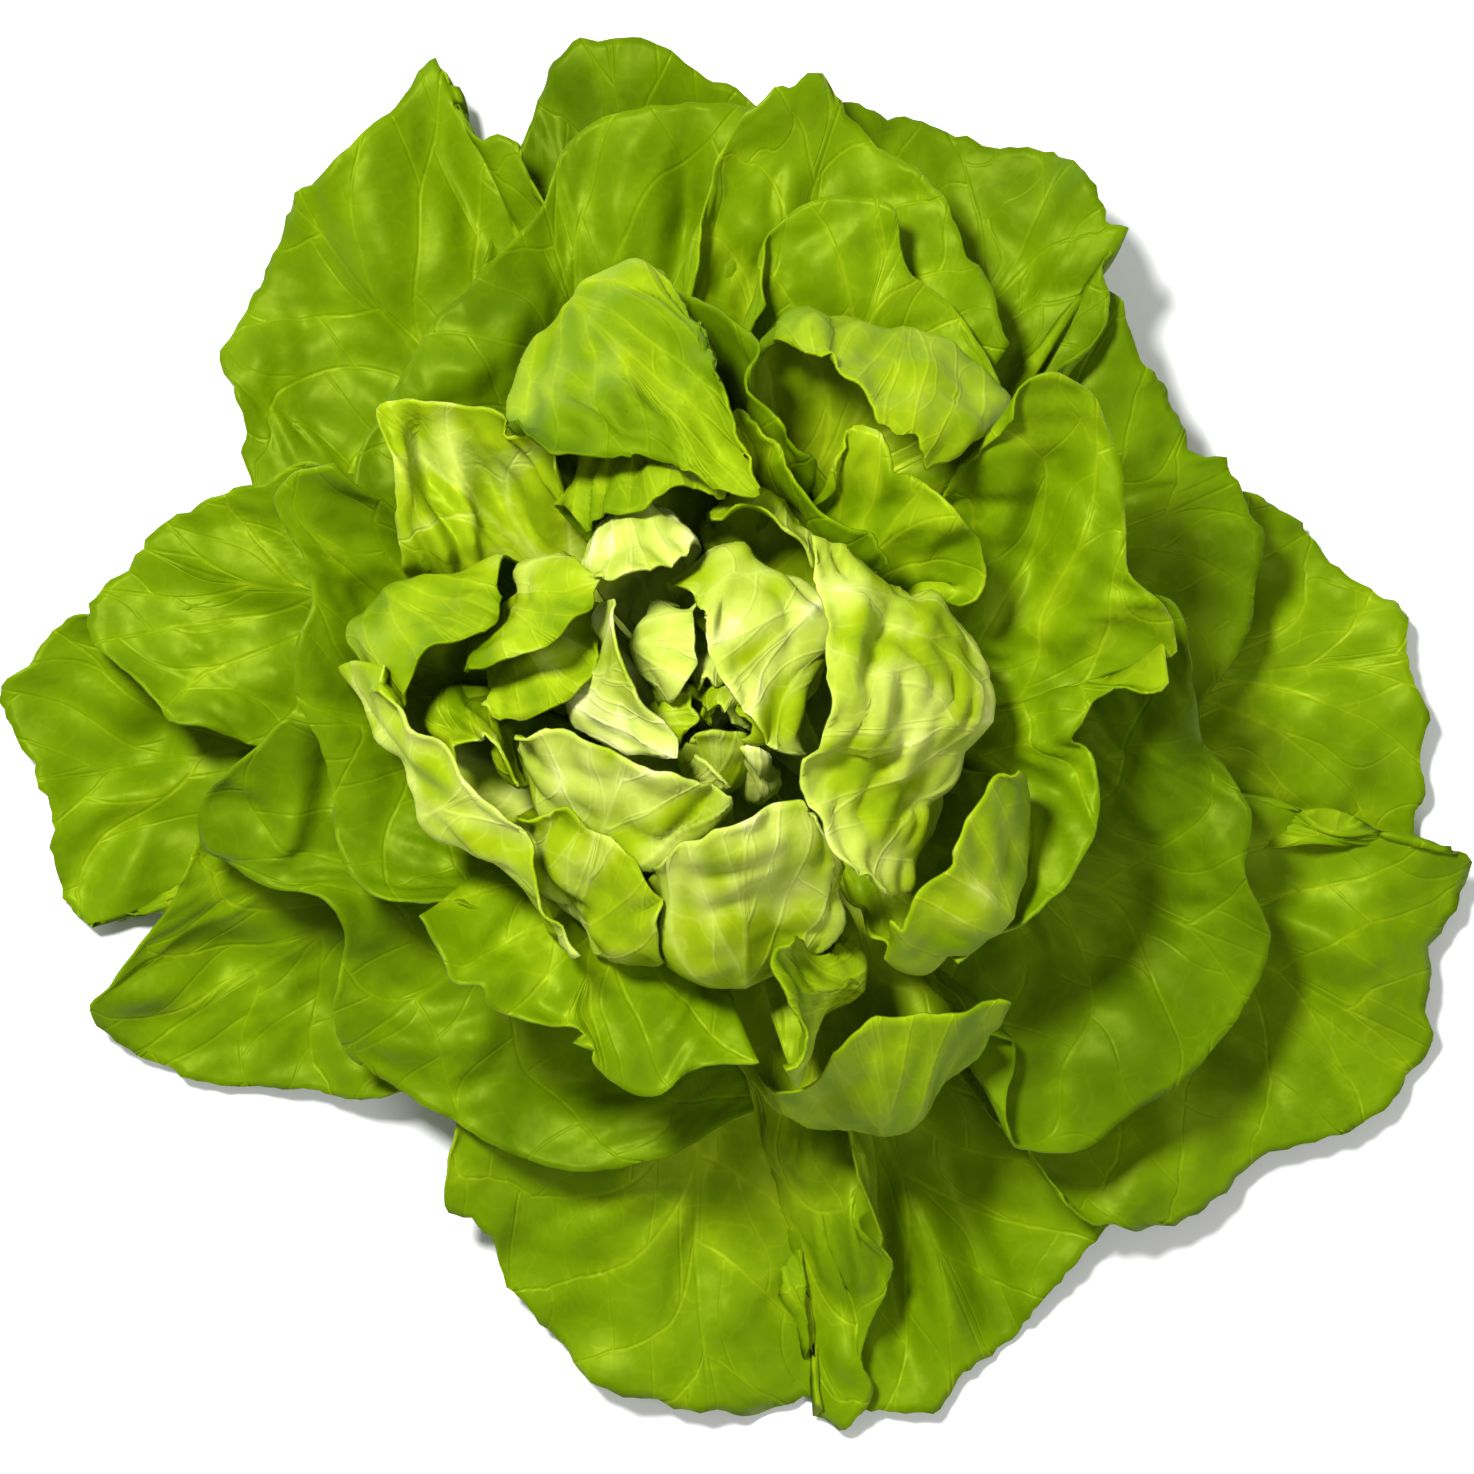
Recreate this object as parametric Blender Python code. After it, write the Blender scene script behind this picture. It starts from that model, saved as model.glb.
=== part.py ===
"""Butterhead lettuce, whole head as picked, seen with its open rosette facing up."""

import math
from collections import namedtuple

import bpy
import numpy as np

MM = 0.001

# Stem, in mm: a pale stump, cut flat at the bottom.
STEM_HEIGHT = 61.0
STEM_RADII = ((0.0, 14.0), (1.2, 15.2), (14.0, 14.4), (26.0, 12.0), (38.0, 8.8), (46.0, 6.6),
              (54.0, 5.0), (STEM_HEIGHT, 2.6))
STEM_SIDES = 32

# Blades, in mm.
GAP = 0.35
RIM_THICKNESS = 0.8
BASE_THICKNESS = 1.7
INNER_BASE_THICKNESS = 1.2
STEEP_LAUNCH = 60
RIB_THICKNESS = 1.3
LOWEST_SEAT = 4.5
SEAT_STEP = 2.7
RIM_WAVE = 1.6
RIM_WAVELENGTH = 52.0
FULL_WAVE_RIM = 170.0
NORMAL_ROUNDS = 2
TUCK = 4.0
TUCK_SHARE = 0.7
TUCK_LAUNCH = 56

# How the sheets come to rest on each other.
SHEET_ROWS = 9
SHEET_COLUMNS = 17
SHEET_SPACING = 2.0
SHEET_REACH = 4.0
MOST_SHIFT = 9.0
SETTLE_ROUNDS = 14
GROUND_CLEARANCE = 2.2

Leaf = namedtuple("Leaf", "name azimuth half_width launch cells rim rim_heights mid mid_heights")

# Leaves from the lowest and outermost to the innermost. Angles in degrees, lengths in mm. The rim is
# the leaf's free edge seen from above, with heights spread evenly along it. A leaf that hoods over has
# a second line, mid, where it bulges widest.
LEAVES = (
    Leaf(
        "outer_top", 98, 38, 12, (14, 6),
        ((-48, 88), (-42, 104), (-37, 115), (-35, 123), (-32, 130), (-27, 134), (-20, 135),
         (-12, 134), (-4, 129), (2, 125), (8, 122), (12, 112), (13, 98)),
        (18, 10, 5, 4, 6, 10, 18),
        (),
        (),
    ),
    Leaf(
        "outer_left", 182, 38, 10, (14, 6),
        ((-102, 22), (-114, 21), (-125, 19), (-130, 17), (-137, 11), (-142, 4), (-141, -2),
         (-137, -10), (-133, -19), (-132, -30), (-129, -39), (-124, -43), (-114, -39), (-107, -35),
         (-94, -30)),
        (18, 10, 5, 4, 3, 5, 9),
        (),
        (),
    ),
    Leaf(
        "outer_bottom_right", 291, 38, 10, (14, 6),
        ((16, -108), (19, -126), (24, -136), (29, -140), (38, -141), (46, -139), (51, -132),
         (60, -126), (68, -116), (79, -103), (84, -88), (83, -74)),
        (14, 7, 4, 3, 6, 10, 18),
        (),
        (),
    ),
    Leaf(
        "outer_right", 1, 38, 10, (14, 6),
        ((118, -38), (133, -32), (140, -27), (142, -16), (142, 2), (139, 14), (139, 21), (135, 23),
         (126, 30), (116, 39), (106, 45), (92, 48)),
        (8, 5, 4, 5, 3, 8, 16),
        (),
        (),
    ),
    Leaf(
        "outer_top_left", 130, 38, 14, (14, 6),
        ((-76, 22), (-88, 34), (-92, 46), (-94, 56), (-95, 63), (-99, 71), (-94, 79), (-89, 90),
         (-84, 102), (-75, 111), (-62, 123), (-56, 131), (-51, 122), (-46, 116), (-38, 115),
         (-32, 104), (-30, 92)),
        (20, 14, 8, 6, 10, 9, 14, 24),
        (),
        (),
    ),
    Leaf(
        "outer_bottom_left", 205, 38, 12, (14, 6),
        ((-92, -18), (-102, -28), (-107, -36), (-112, -43), (-120, -53), (-125, -60), (-116, -69),
         (-102, -74), (-90, -75), (-76, -77), (-62, -76), (-50, -72)),
        (25, 18, 11, 5, 5, 9, 18),
        (),
        (),
    ),
    Leaf(
        "outer_left_upper", 164, 38, 17, (14, 6),
        ((-106, -2), (-120, 10), (-125, 20), (-118, 31), (-106, 40), (-92, 45), (-83, 47), (-72, 42)),
        (24, 16, 13, 16, 22, 32),
        (),
        (),
    ),
    Leaf(
        "outer_right_lower", 338, 38, 14, (14, 6),
        ((64, -92), (76, -102), (88, -103), (98, -100), (110, -89), (120, -86), (134, -80),
         (143, -69), (144, -58), (144, -48), (148, -41), (152, -29), (138, -27), (124, -27),
         (108, -29), (101, -37)),
        (20, 12, 6, 5, 7, 11, 13, 15),
        (),
        (),
    ),
    Leaf(
        "outer_right_upper", 22, 38, 18, (14, 6),
        ((95, -10), (96, -4), (98, 2), (106, 14), (109, 27), (108, 40), (103, 50), (98, 51), (92, 60),
         (84, 73), (79, 84), (68, 88)),
        (26, 20, 18, 20, 24, 28, 32),
        (),
        (),
    ),
    Leaf(
        "outer_bottom", 262, 38, 14, (14, 6),
        ((-54, -70), (-50, -82), (-53, -91), (-53, -98), (-44, -106), (-40, -116), (-30, -128),
         (-21, -135), (-6, -139), (8, -141), (18, -138), (19, -142), (25, -145), (29, -141),
         (30, -128), (34, -116), (32, -102), (27, -90), (24, -80)),
        (26, 16, 9, 6, 5, 6, 10, 20, 30),
        (),
        (),
    ),
    Leaf(
        "outer_top_right", 53, 38, 20, (14, 6),
        ((70, 56), (70, 68), (76, 74), (78, 82), (78, 92), (84, 96), (79, 97), (77, 104), (73, 109),
         (62, 113), (52, 114), (42, 118), (26, 121), (16, 119), (13, 108)),
        (38, 32, 26, 22, 20, 24, 32),
        (),
        (),
    ),
    Leaf(
        "top", 112, 38, 24, (14, 6),
        ((-73, 38), (-69, 52), (-64, 61), (-56, 76), (-44, 89), (-34, 100), (-29, 112), (-22, 118),
         (-12, 120), (-2, 121), (7, 120), (16, 114), (18, 100)),
        (44, 42, 36, 30, 28, 32, 38),
        (),
        (),
    ),
    Leaf(
        "top_crinkled", 80, 38, 26, (14, 6),
        ((-2, 86), (0, 102), (7, 120), (15, 124), (20, 127), (25, 122), (33, 112), (42, 106),
         (48, 98), (50, 92), (56, 82), (58, 72)),
        (42, 40, 36, 34, 36, 40, 42),
        (),
        (),
    ),
    Leaf(
        "right_cup", 333, 38, 26, (14, 6),
        ((76, 24), (91, 22), (96, 6), (97, -7), (103, -14), (107, -20), (106, -32), (111, -46),
         (106, -59), (98, -69), (91, -75), (82, -81), (75, -86), (69, -87), (64, -86), (60, -81),
         (58, -78), (58, -68), (50, -64)),
        (50, 44, 38, 34, 30, 28, 28, 32, 36, 40),
        (),
        (),
    ),
    Leaf(
        "lower_left", 232, 38, 28, (14, 6),
        ((-84, -2), (-95, -11), (-101, -18), (-102, -23), (-101, -28), (-95, -31), (-86, -36),
         (-76, -39), (-73, -45), (-74, -53), (-75, -60), (-72, -70), (-62, -76), (-52, -81),
         (-44, -86), (-34, -90), (-20, -91), (-6, -87), (3, -82), (9, -79)),
        (40, 34, 30, 32, 30, 26, 24, 26, 28, 34),
        (),
        (),
    ),
    Leaf(
        "lower_fold", 295, 38, 36, (12, 6),
        ((13, -75), (18, -72), (23, -63), (28, -59), (38, -59), (47, -58), (55, -56), (59, -57)),
        (50, 54, 57, 58, 56, 54),
        ((10, -76), (14, -79), (23, -82), (35, -83), (41, -80), (46, -74), (50, -70), (54, -65)),
        (42, 40, 40, 42, 46),
    ),
    Leaf(
        "left", 186, 38, 32, (14, 6),
        ((-74, 48), (-82, 47), (-86, 42), (-84, 36), (-80, 29), (-79, 21), (-82, 14), (-82, 3),
         (-78, -6), (-74, -18), (-73, -27), (-69, -34), (-62, -38), (-52, -40), (-42, -39)),
        (64, 58, 54, 54, 50, 48, 50, 54, 62),
        (),
        (),
    ),
    Leaf(
        "top_right_strip", 64, 38, 32, (14, 6),
        ((10, 80), (12, 94), (18, 100), (28, 102), (36, 100), (38, 89), (42, 84), (47, 80), (52, 73),
         (56, 68), (59, 61)),
        (50, 46, 46, 46, 46, 48),
        (),
        (),
    ),
    Leaf(
        "top_right_hood", 68, 26, 44, (14, 6),
        ((18, 70), (24, 70), (25, 66), (30, 63), (34, 58), (41, 53), (43, 46)),
        (78, 80, 82, 82, 78),
        ((13, 72), (14, 75), (18, 77), (22, 74), (28, 75), (33, 73), (41, 73), (46, 72), (51, 68),
         (58, 62), (58, 57)),
        (62, 62, 60, 58, 58, 58),
    ),
    Leaf(
        "right_wave", 350, 38, 40, (14, 6),
        ((61, 57), (62, 63), (66, 66), (73, 62), (79, 51), (81, 39), (82, 28), (89, 22), (91, 14),
         (90, 10), (80, 8), (75, 4), (72, -2), (70, -6), (75, -11), (76, -16), (75, -25), (72, -30),
         (64, -39), (55, -43), (48, -50)),
        (74, 72, 68, 64, 60, 60, 62, 60, 60, 62, 66),
        (),
        (),
    ),
    Leaf(
        "bottom_wave", 248, 38, 36, (14, 6),
        ((-57, -40), (-52, -49), (-50, -53), (-45, -54), (-43, -57), (-37, -59), (-32, -61),
         (-28, -60), (-25, -62), (-25, -68), (-21, -72), (-15, -75), (-10, -75), (-5, -71), (2, -69),
         (9, -68)),
        (64, 66, 68, 66, 62, 62, 63),
        ((-53, -38), (-46, -43), (-40, -46), (-30, -47), (-21, -53), (-12, -57), (-3, -60), (5, -59)),
        (58, 60, 60, 58, 56),
    ),
    Leaf(
        "curl", 288, 21, 47, (10, 5),
        ((15, -43), (11, -46), (10, -50), (13, -54), (17, -60), (19, -64), (18, -67), (14, -69)),
        (74, 76, 78, 76, 76),
        ((22, -46), (25, -50), (28, -54), (29, -58), (26, -62), (22, -65), (20, -70), (16, -73)),
        (62, 62, 62, 62, 64),
    ),
    Leaf(
        "top_valley", 71, 26, 42, (10, 5),
        ((-8, 82), (-3, 80), (4, 76), (9, 72), (9, 63), (12, 59), (16, 56), (17, 52), (20, 50),
         (25, 43)),
        (58, 64, 70, 72, 70, 64),
        (),
        (),
    ),
    Leaf(
        "top_cap", 103, 30, 59, (14, 6),
        ((-39, 56), (-36, 52), (-32, 50), (-24, 49), (-20, 50), (-14, 48), (-7, 49), (2, 43),
         (10, 41), (7, 52), (4, 59), (2, 67), (-2, 73)),
        (80, 84, 86, 88, 88, 86, 80),
        ((-41, 54), (-38, 60), (-36, 64), (-33, 70), (-27, 77), (-22, 82), (-14, 85), (-9, 84),
         (-3, 78)),
        (62, 62, 64, 64, 66),
    ),
    Leaf(
        "upper_left_wrinkled", 142, 30, 48, (14, 6),
        ((-59, 19), (-61, 31), (-63, 48), (-65, 60), (-56, 60), (-49, 59), (-45, 59), (-43, 57),
         (-39, 54), (-34, 50), (-31, 46)),
        (60, 66, 70, 70, 72, 74, 74),
        (),
        (),
    ),
    Leaf(
        "left_hood", 206, 32, 54, (12, 5),
        ((-64, 10), (-67, 3), (-60, 2), (-56, -3), (-52, -6), (-47, -12), (-40, -20), (-36, -27),
         (-35, -32), (-34, -36), (-32, -41), (-29, -44), (-25, -47)),
        (78, 82, 84, 84, 82, 78),
        ((-68, 11), (-68, -2), (-65, -7), (-61, -11), (-56, -17), (-51, -22), (-43, -27), (-40, -30),
         (-36, -35), (-31, -45)),
        (60, 68, 72, 70, 66),
    ),
    Leaf(
        "left_lobe", 165, 28, 56, (10, 5),
        ((-58, 1), (-55, 10), (-50, 12), (-45, 14), (-40, 18), (-39, 22), (-40, 25)),
        (74, 78, 80, 80, 78),
        ((-66, 4), (-67, 7), (-69, 12), (-68, 16), (-64, 19), (-60, 21), (-54, 22), (-44, 24),
         (-40, 28)),
        (62, 64, 66, 68, 70),
    ),
    Leaf(
        "upper_right_fold", 42, 26, 56, (10, 5),
        ((25, 48), (28, 55), (32, 55), (34, 52), (35, 46), (42, 44), (48, 39), (52, 31), (52, 27),
         (50, 24), (46, 21)),
        (72, 74, 76, 76, 72, 70),
        (),
        (),
    ),
    Leaf(
        "upper_right_ruffle", 62, 26, 58, (10, 5),
        ((3, 57), (5, 59), (9, 57), (11, 52), (14, 49), (18, 44), (23, 39), (32, 35), (35, 29)),
        (74, 76, 78, 78, 76),
        (),
        (),
    ),
    Leaf(
        "lower_right_hood", 333, 22, 55, (12, 5),
        ((60, -11), (55, -12), (52, -16), (47, -25), (46, -28), (47, -30), (41, -37), (40, -41),
         (37, -44), (34, -42)),
        (76, 78, 80, 80, 78, 76),
        ((60, -13), (61, -18), (60, -27), (59, -35), (56, -41), (51, -46), (44, -50), (39, -49),
         (36, -46)),
        (64, 64, 64, 64, 66),
    ),
    Leaf(
        "right_heart", 0, 34, 54, (14, 6),
        ((19, 34), (19, 28), (21, 21), (21, 16), (20, 12), (21, 5), (21, -2), (20, -7), (17, -9),
         (18, -14), (22, -21), (26, -30), (34, -35)),
        (84, 90, 94, 94, 92, 86),
        ((32, 22), (47, 19), (52, 12), (54, 5), (52, -2), (46, -13), (44, -16), (44, -19), (42, -26),
         (38, -35)),
        (66, 66, 66, 66, 66),
    ),
    Leaf(
        "top_inner", 112, 23, 56, (10, 5),
        ((-25, 36), (-22, 38), (-15, 37), (-9, 41), (-3, 43), (2, 41)),
        (78, 80, 82, 82, 80),
        ((-26, 44), (-23, 51), (-17, 56), (-6, 56), (3, 51)),
        (68, 68, 68, 68),
    ),
    Leaf(
        "lower_left_small", 188, 22, 61, (8, 5),
        ((-51, -11), (-52, -7), (-48, -4), (-44, -3), (-42, -6), (-41, -9), (-38, -15)),
        (72, 76, 78, 78, 76),
        ((-53, -10), (-55, -4), (-50, 1), (-44, 0), (-40, -4), (-40, -8), (-37, -15)),
        (67.5, 69.5, 69.5, 69.5, 67.5),
    ),
    Leaf(
        "left_inner", 168, 24, 60, (10, 5),
        ((-46, 6), (-38, 8), (-28, 12), (-22, 18), (-19, 23), (-20, 26)),
        (82, 86, 88, 88),
        ((-47, 8), (-46, 11), (-41, 16), (-34, 21), (-33, 27), (-29, 28)),
        (72, 72, 74, 76),
    ),
    Leaf(
        "bottom_left_inner", 229, 28, 66, (10, 5),
        ((-37, -19), (-32, -20), (-28, -18), (-25, -24), (-18, -27), (-11, -34), (-8, -39)),
        (78, 82, 82, 80, 78),
        ((-37, -20), (-33, -26), (-32, -31), (-29, -35), (-25, -39), (-22, -45), (-14, -48),
         (-7, -47)),
        (64, 64, 64, 64),
    ),
    Leaf(
        "bottom_inner", 276, 28, 60, (12, 6),
        ((-11, -28), (-6, -24), (4, -20), (10, -18), (18, -17), (22, -21)),
        (84, 88, 88, 86, 84),
        ((-10, -32), (-8, -38), (-7, -47), (2, -49), (10, -48), (18, -45), (24, -42), (25, -32)),
        (68, 66, 64, 64, 66),
    ),
    Leaf(
        "left_tuck", 178, 22, 61, (8, 5),
        ((-45, 1), (-40, -1), (-36, -1), (-31, 1), (-23, 5), (-20, 10), (-20, 13)),
        (76, 80, 82, 82, 80),
        ((-44, 4), (-42, 10), (-36, 14), (-30, 18), (-23, 20)),
        (68, 70, 70, 71),
    ),
    Leaf(
        "top_flap", 122, 22, 64, (10, 5),
        ((-26, 25), (-21, 24), (-15, 25), (-8, 28), (-4, 30)),
        (86, 90, 90, 88),
        ((-26, 28), (-21, 33), (-14, 37), (-10, 36), (-7, 35), (-4, 33)),
        (75, 76, 76, 76),
    ),
    Leaf(
        "lower_left_heart", 236, 26, 66, (12, 5),
        ((-38, -7), (-28, -5), (-24, -6), (-15, -10), (-6, -12), (0, -15), (5, -18)),
        (84, 90, 92, 92, 90),
        ((-40, -8), (-36, -14), (-28, -20), (-23, -22), (-15, -26), (-11, -27), (-7, -25), (3, -20)),
        (72, 72, 72, 74),
    ),
    Leaf(
        "upper_right_heart", 68, 22, 68, (8, 5),
        ((0, 38), (6, 37), (12, 35), (18, 32), (20, 28)),
        (80, 84, 84, 82),
        ((-1, 40), (9, 40), (18, 36), (23, 29)),
        (68, 68, 68, 68),
    ),
    Leaf(
        "heart_left", 215, 34, 72, (8, 5),
        ((-18, 22), (-16, 15), (-14, 8), (-11, 1), (-7, -5), (-6, -9)),
        (88, 92, 92, 90, 88),
        ((-20, 20), (-20, 13), (-20, 8), (-23, 3), (-23, -2), (-20, -7)),
        (78, 78, 78, 78),
    ),
    Leaf(
        "heart_strip", 236, 13, 78, (8, 5),
        ((-2, -8), (0, -10), (2, -12), (4, -14)),
        (85, 87, 87, 85),
        ((-3, -9), (-1, -11), (1, -13), (3, -14)),
        (83, 83, 83, 83),
    ),
    Leaf(
        "heart_right", 30, 34, 72, (12, 6),
        ((-4, 22), (-3, 21), (-1, 20), (-1, 16), (0, 11), (2, 8), (4, 4), (6, 1), (9, -4), (12, -8),
         (16, -10)),
        (86, 90, 92, 92, 90, 88, 84),
        ((-6, 23), (-1, 26), (3, 29), (5, 29), (7, 26), (14, 23), (20, 16), (21, 12), (19, 6),
         (18, 2), (16, -2), (17, -8), (18, -10)),
        (82, 81, 79, 77, 76, 76),
    ),
    Leaf(
        "heart_top", 114, 26, 77, (8, 6),
        ((-6, 2), (-4, 7), (-3, 13), (-4, 18), (-5, 22)),
        (82, 86, 87, 86, 83),
        ((-7, 2), (-8, 7), (-9, 13), (-8, 18), (-8, 21), (-6, 22)),
        (80, 80, 80, 80, 80),
    ),
    Leaf(
        "heart_bottom", 306, 20, 72, (8, 5),
        ((4, -8), (6, -7), (9, -7), (11, -8)),
        (78, 80, 80, 77),
        ((5, -11), (7, -12), (10, -13), (13, -12)),
        (72, 72, 72, 70),
    ),
    Leaf(
        "heart_tip", 60, 30, 86, (6, 5),
        ((-3, 0), (-3, -2), (-1, -4), (1, -4), (2, -2)),
        (77, 77, 77, 77, 77),
        ((-2, 2), (-2, 1), (-1, 0), (1, -1), (3, 0)),
        (80, 81, 81, 79),
    ),
)


def hermite(knots, values, at):
    """Smooth values through those at the knots."""
    slopes = np.gradient(values, knots, axis=0)
    return hermite_with(knots, values, slopes, at)


def hermite_with(knots, values, slopes, at):
    k = np.clip(np.searchsorted(knots, at, side="right") - 1, 0, len(knots) - 2)
    width = knots[k + 1] - knots[k]
    u = (at - knots[k]) / width
    if values.ndim > 1:
        u, width = u[:, None], width[:, None]
    start = (1 + 2 * u) * (1 - u) ** 2 * values[k] + u * (1 - u) ** 2 * width * slopes[k]
    end = u ** 2 * (3 - 2 * u) * values[k + 1] - u ** 2 * (1 - u) * width * slopes[k + 1]
    return start + end


def smooth_line(outline, heights, places):
    """Points on the smooth line through an outline, at places from 0 to 1 along its length."""
    flat = np.array(outline, float)
    steps = np.linalg.norm(np.diff(flat, axis=0), axis=1)
    knots = np.concatenate([[0.0], np.cumsum(np.sqrt(steps))])
    fine = hermite(knots, flat, np.linspace(0, knots[-1], 400))
    length = np.concatenate([[0.0], np.cumsum(np.linalg.norm(np.diff(fine, axis=0), axis=1))])
    at = places * length[-1]
    levels = hermite(np.linspace(0, 1, len(heights)), np.array(heights, float), places)
    return np.column_stack([np.interp(at, length, fine[:, 0]), np.interp(at, length, fine[:, 1]), levels])


def turned(leaf):
    """The leaf with its lines running the same way round as its foot."""
    turn = math.radians(leaf.azimuth)
    chord = np.array(leaf.rim[-1]) - leaf.rim[0]
    if chord @ (-math.sin(turn), math.cos(turn)) > 0:
        return leaf
    return leaf._replace(
        rim=leaf.rim[::-1],
        rim_heights=leaf.rim_heights[::-1],
        mid=leaf.mid[::-1],
        mid_heights=leaf.mid_heights[::-1],
    )


def stem_radius(height):
    return np.interp(height, [z for z, _ in STEM_RADII], [r for _, r in STEM_RADII])


def seat_heights(leaves):
    """Heights of the leaf bases up the stem, each clear of the ones below it."""
    seats = []
    for leaf in leaves:
        seat = LOWEST_SEAT
        for other, below in zip(leaves, seats):
            turn = abs((leaf.azimuth - other.azimuth + 180) % 360 - 180)
            if turn < leaf.half_width + other.half_width + 4:
                seat = max(seat, below + SEAT_STEP)
        seats.append(seat)
    return seats


def base_thickness(leaf):
    """Outer leaves have stout feet, and the steep inner ones thin feet."""
    return BASE_THICKNESS if leaf.launch < STEEP_LAUNCH else INNER_BASE_THICKNESS


def foot_radius(leaf, seat):
    """Distance of the leaf's foot from the axis, just off the stem."""
    return stem_radius(seat) + GAP + base_thickness(leaf) / 2 * math.sin(math.radians(leaf.launch))


def base_line(leaf, seat, places):
    """The leaf's foot round the stem, and the directions in which its fan lines set out."""
    angles = np.radians(leaf.azimuth + leaf.half_width * (2 * places - 1))
    rise = math.radians(leaf.launch)
    radius = foot_radius(leaf, seat)
    ring = np.column_stack([np.cos(angles), np.sin(angles), np.zeros(len(angles))])
    foot = ring * radius
    foot[:, 2] = seat
    away = ring * math.cos(rise)
    away[:, 2] = math.sin(rise)
    return foot, away


def tucked(mid, rim, places):
    """The bulge line drawn outwards and down, in under the rims of the leaves round it."""
    away = (mid - rim)[:, :2]
    reach = np.maximum(np.linalg.norm(away, axis=1), 1.0)
    share = np.sqrt(np.sin(math.pi * np.clip(places, 0, 1)).clip(0))
    amount = np.minimum(TUCK, TUCK_SHARE * reach) * share
    return mid + amount[:, None] * np.column_stack([away / reach[:, None], np.full(len(places), -0.5)])


def rim_wave(leaf, places):
    """How far the rim waves off its line, gently on the short rims of the inner leaves."""
    length = np.linalg.norm(np.diff(np.array(leaf.rim, float), axis=0), axis=1).sum()
    swing = RIM_WAVE * min(1.0, length / FULL_WAVE_RIM)
    return swing * np.sin(2 * math.pi * (length / RIM_WAVELENGTH * places + leaf.azimuth / 47))


def fan(leaf, seat, runs, places):
    """The leaf's middle surface: rows from base to rim at runs, columns round the rim at places."""
    foot, away = base_line(leaf, seat, places)
    rim = smooth_line(leaf.rim, leaf.rim_heights, places)
    stations = [foot, rim]
    if leaf.mid:
        mid = smooth_line(leaf.mid, leaf.mid_heights, places)
        if leaf.launch >= TUCK_LAUNCH:
            mid = tucked(mid, rim, places)
        stations = [foot, mid, rim]
    surface = np.empty((len(runs), len(places), 3))
    for column in range(len(places)):
        line = np.array([station[column] for station in stations])
        steps = np.linalg.norm(np.diff(line, axis=0), axis=1)
        knots = np.concatenate([[0.0], np.cumsum(steps)])
        slopes = np.empty_like(line)
        slopes[0] = away[column]
        if len(line) == 3:
            slopes[1] = np.gradient(line, knots, axis=0)[1]
        slopes[-1] = 1.5 * (line[-1] - line[-2]) / steps[-1] - 0.5 * slopes[-2]
        surface[:, column] = hermite_with(knots, line, slopes, runs * knots[-1])
    wave = rim_wave(leaf, places)
    surface += normals(surface) * (runs[:, None] ** 3 * wave[None, :])[..., None]
    return surface


def normals(surface):
    """Unit normals of a grid of points, towards the inner side of the leaf."""
    across = np.gradient(surface, axis=1)
    along = np.gradient(surface, axis=0)
    out = np.cross(along, across)
    return out / np.maximum(np.linalg.norm(out, axis=2, keepdims=True), 1e-9)


def grid_faces(rows, columns):
    """Triangles of a grid of points, facing the inner side of the leaf."""
    faces = []
    for r in range(rows - 1):
        for c in range(columns - 1):
            a, b = r * columns + c, r * columns + c + 1
            d, e = a + columns, b + columns
            faces += [(a, d, e), (a, e, b)]
    return faces


def softened(field):
    """The field averaged with its neighbours on the grid."""
    padded = np.pad(field, ((1, 1), (1, 1), (0, 0)), mode="edge")
    beside = padded[:-2, 1:-1] + padded[2:, 1:-1] + padded[1:-1, :-2] + padded[1:-1, 2:]
    return 0.4 * field + 0.15 * beside


def cover(sheet):
    """How far sideways each point of a sheet stands for the sheet round it."""
    along = np.linalg.norm(np.gradient(sheet, axis=0), axis=2)
    across = np.linalg.norm(np.gradient(sheet, axis=1), axis=2)
    share = np.full(sheet.shape[:2], 0.3)
    share[1:-1, 1:-1] = 0.55
    return (share * np.hypot(along, across)).ravel()


def press(points, others, outward, covers, nearest, side, room):
    """Moves that bring the points to their proper side of another sheet."""
    offset = points - others[nearest]
    normal = side * outward[nearest]
    height = (offset * normal).sum(axis=1)
    sideways = np.sqrt(np.maximum((offset ** 2).sum(axis=1) - height ** 2, 0))
    wanted = SHEET_SPACING * np.minimum(room, room[nearest])
    deepest = SHEET_REACH * np.minimum(room, room[nearest])
    touching = (sideways < covers[nearest]) & (height > -deepest) & (height < wanted)
    return normal * np.where(touching, wanted - height, 0)[:, None]


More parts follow.
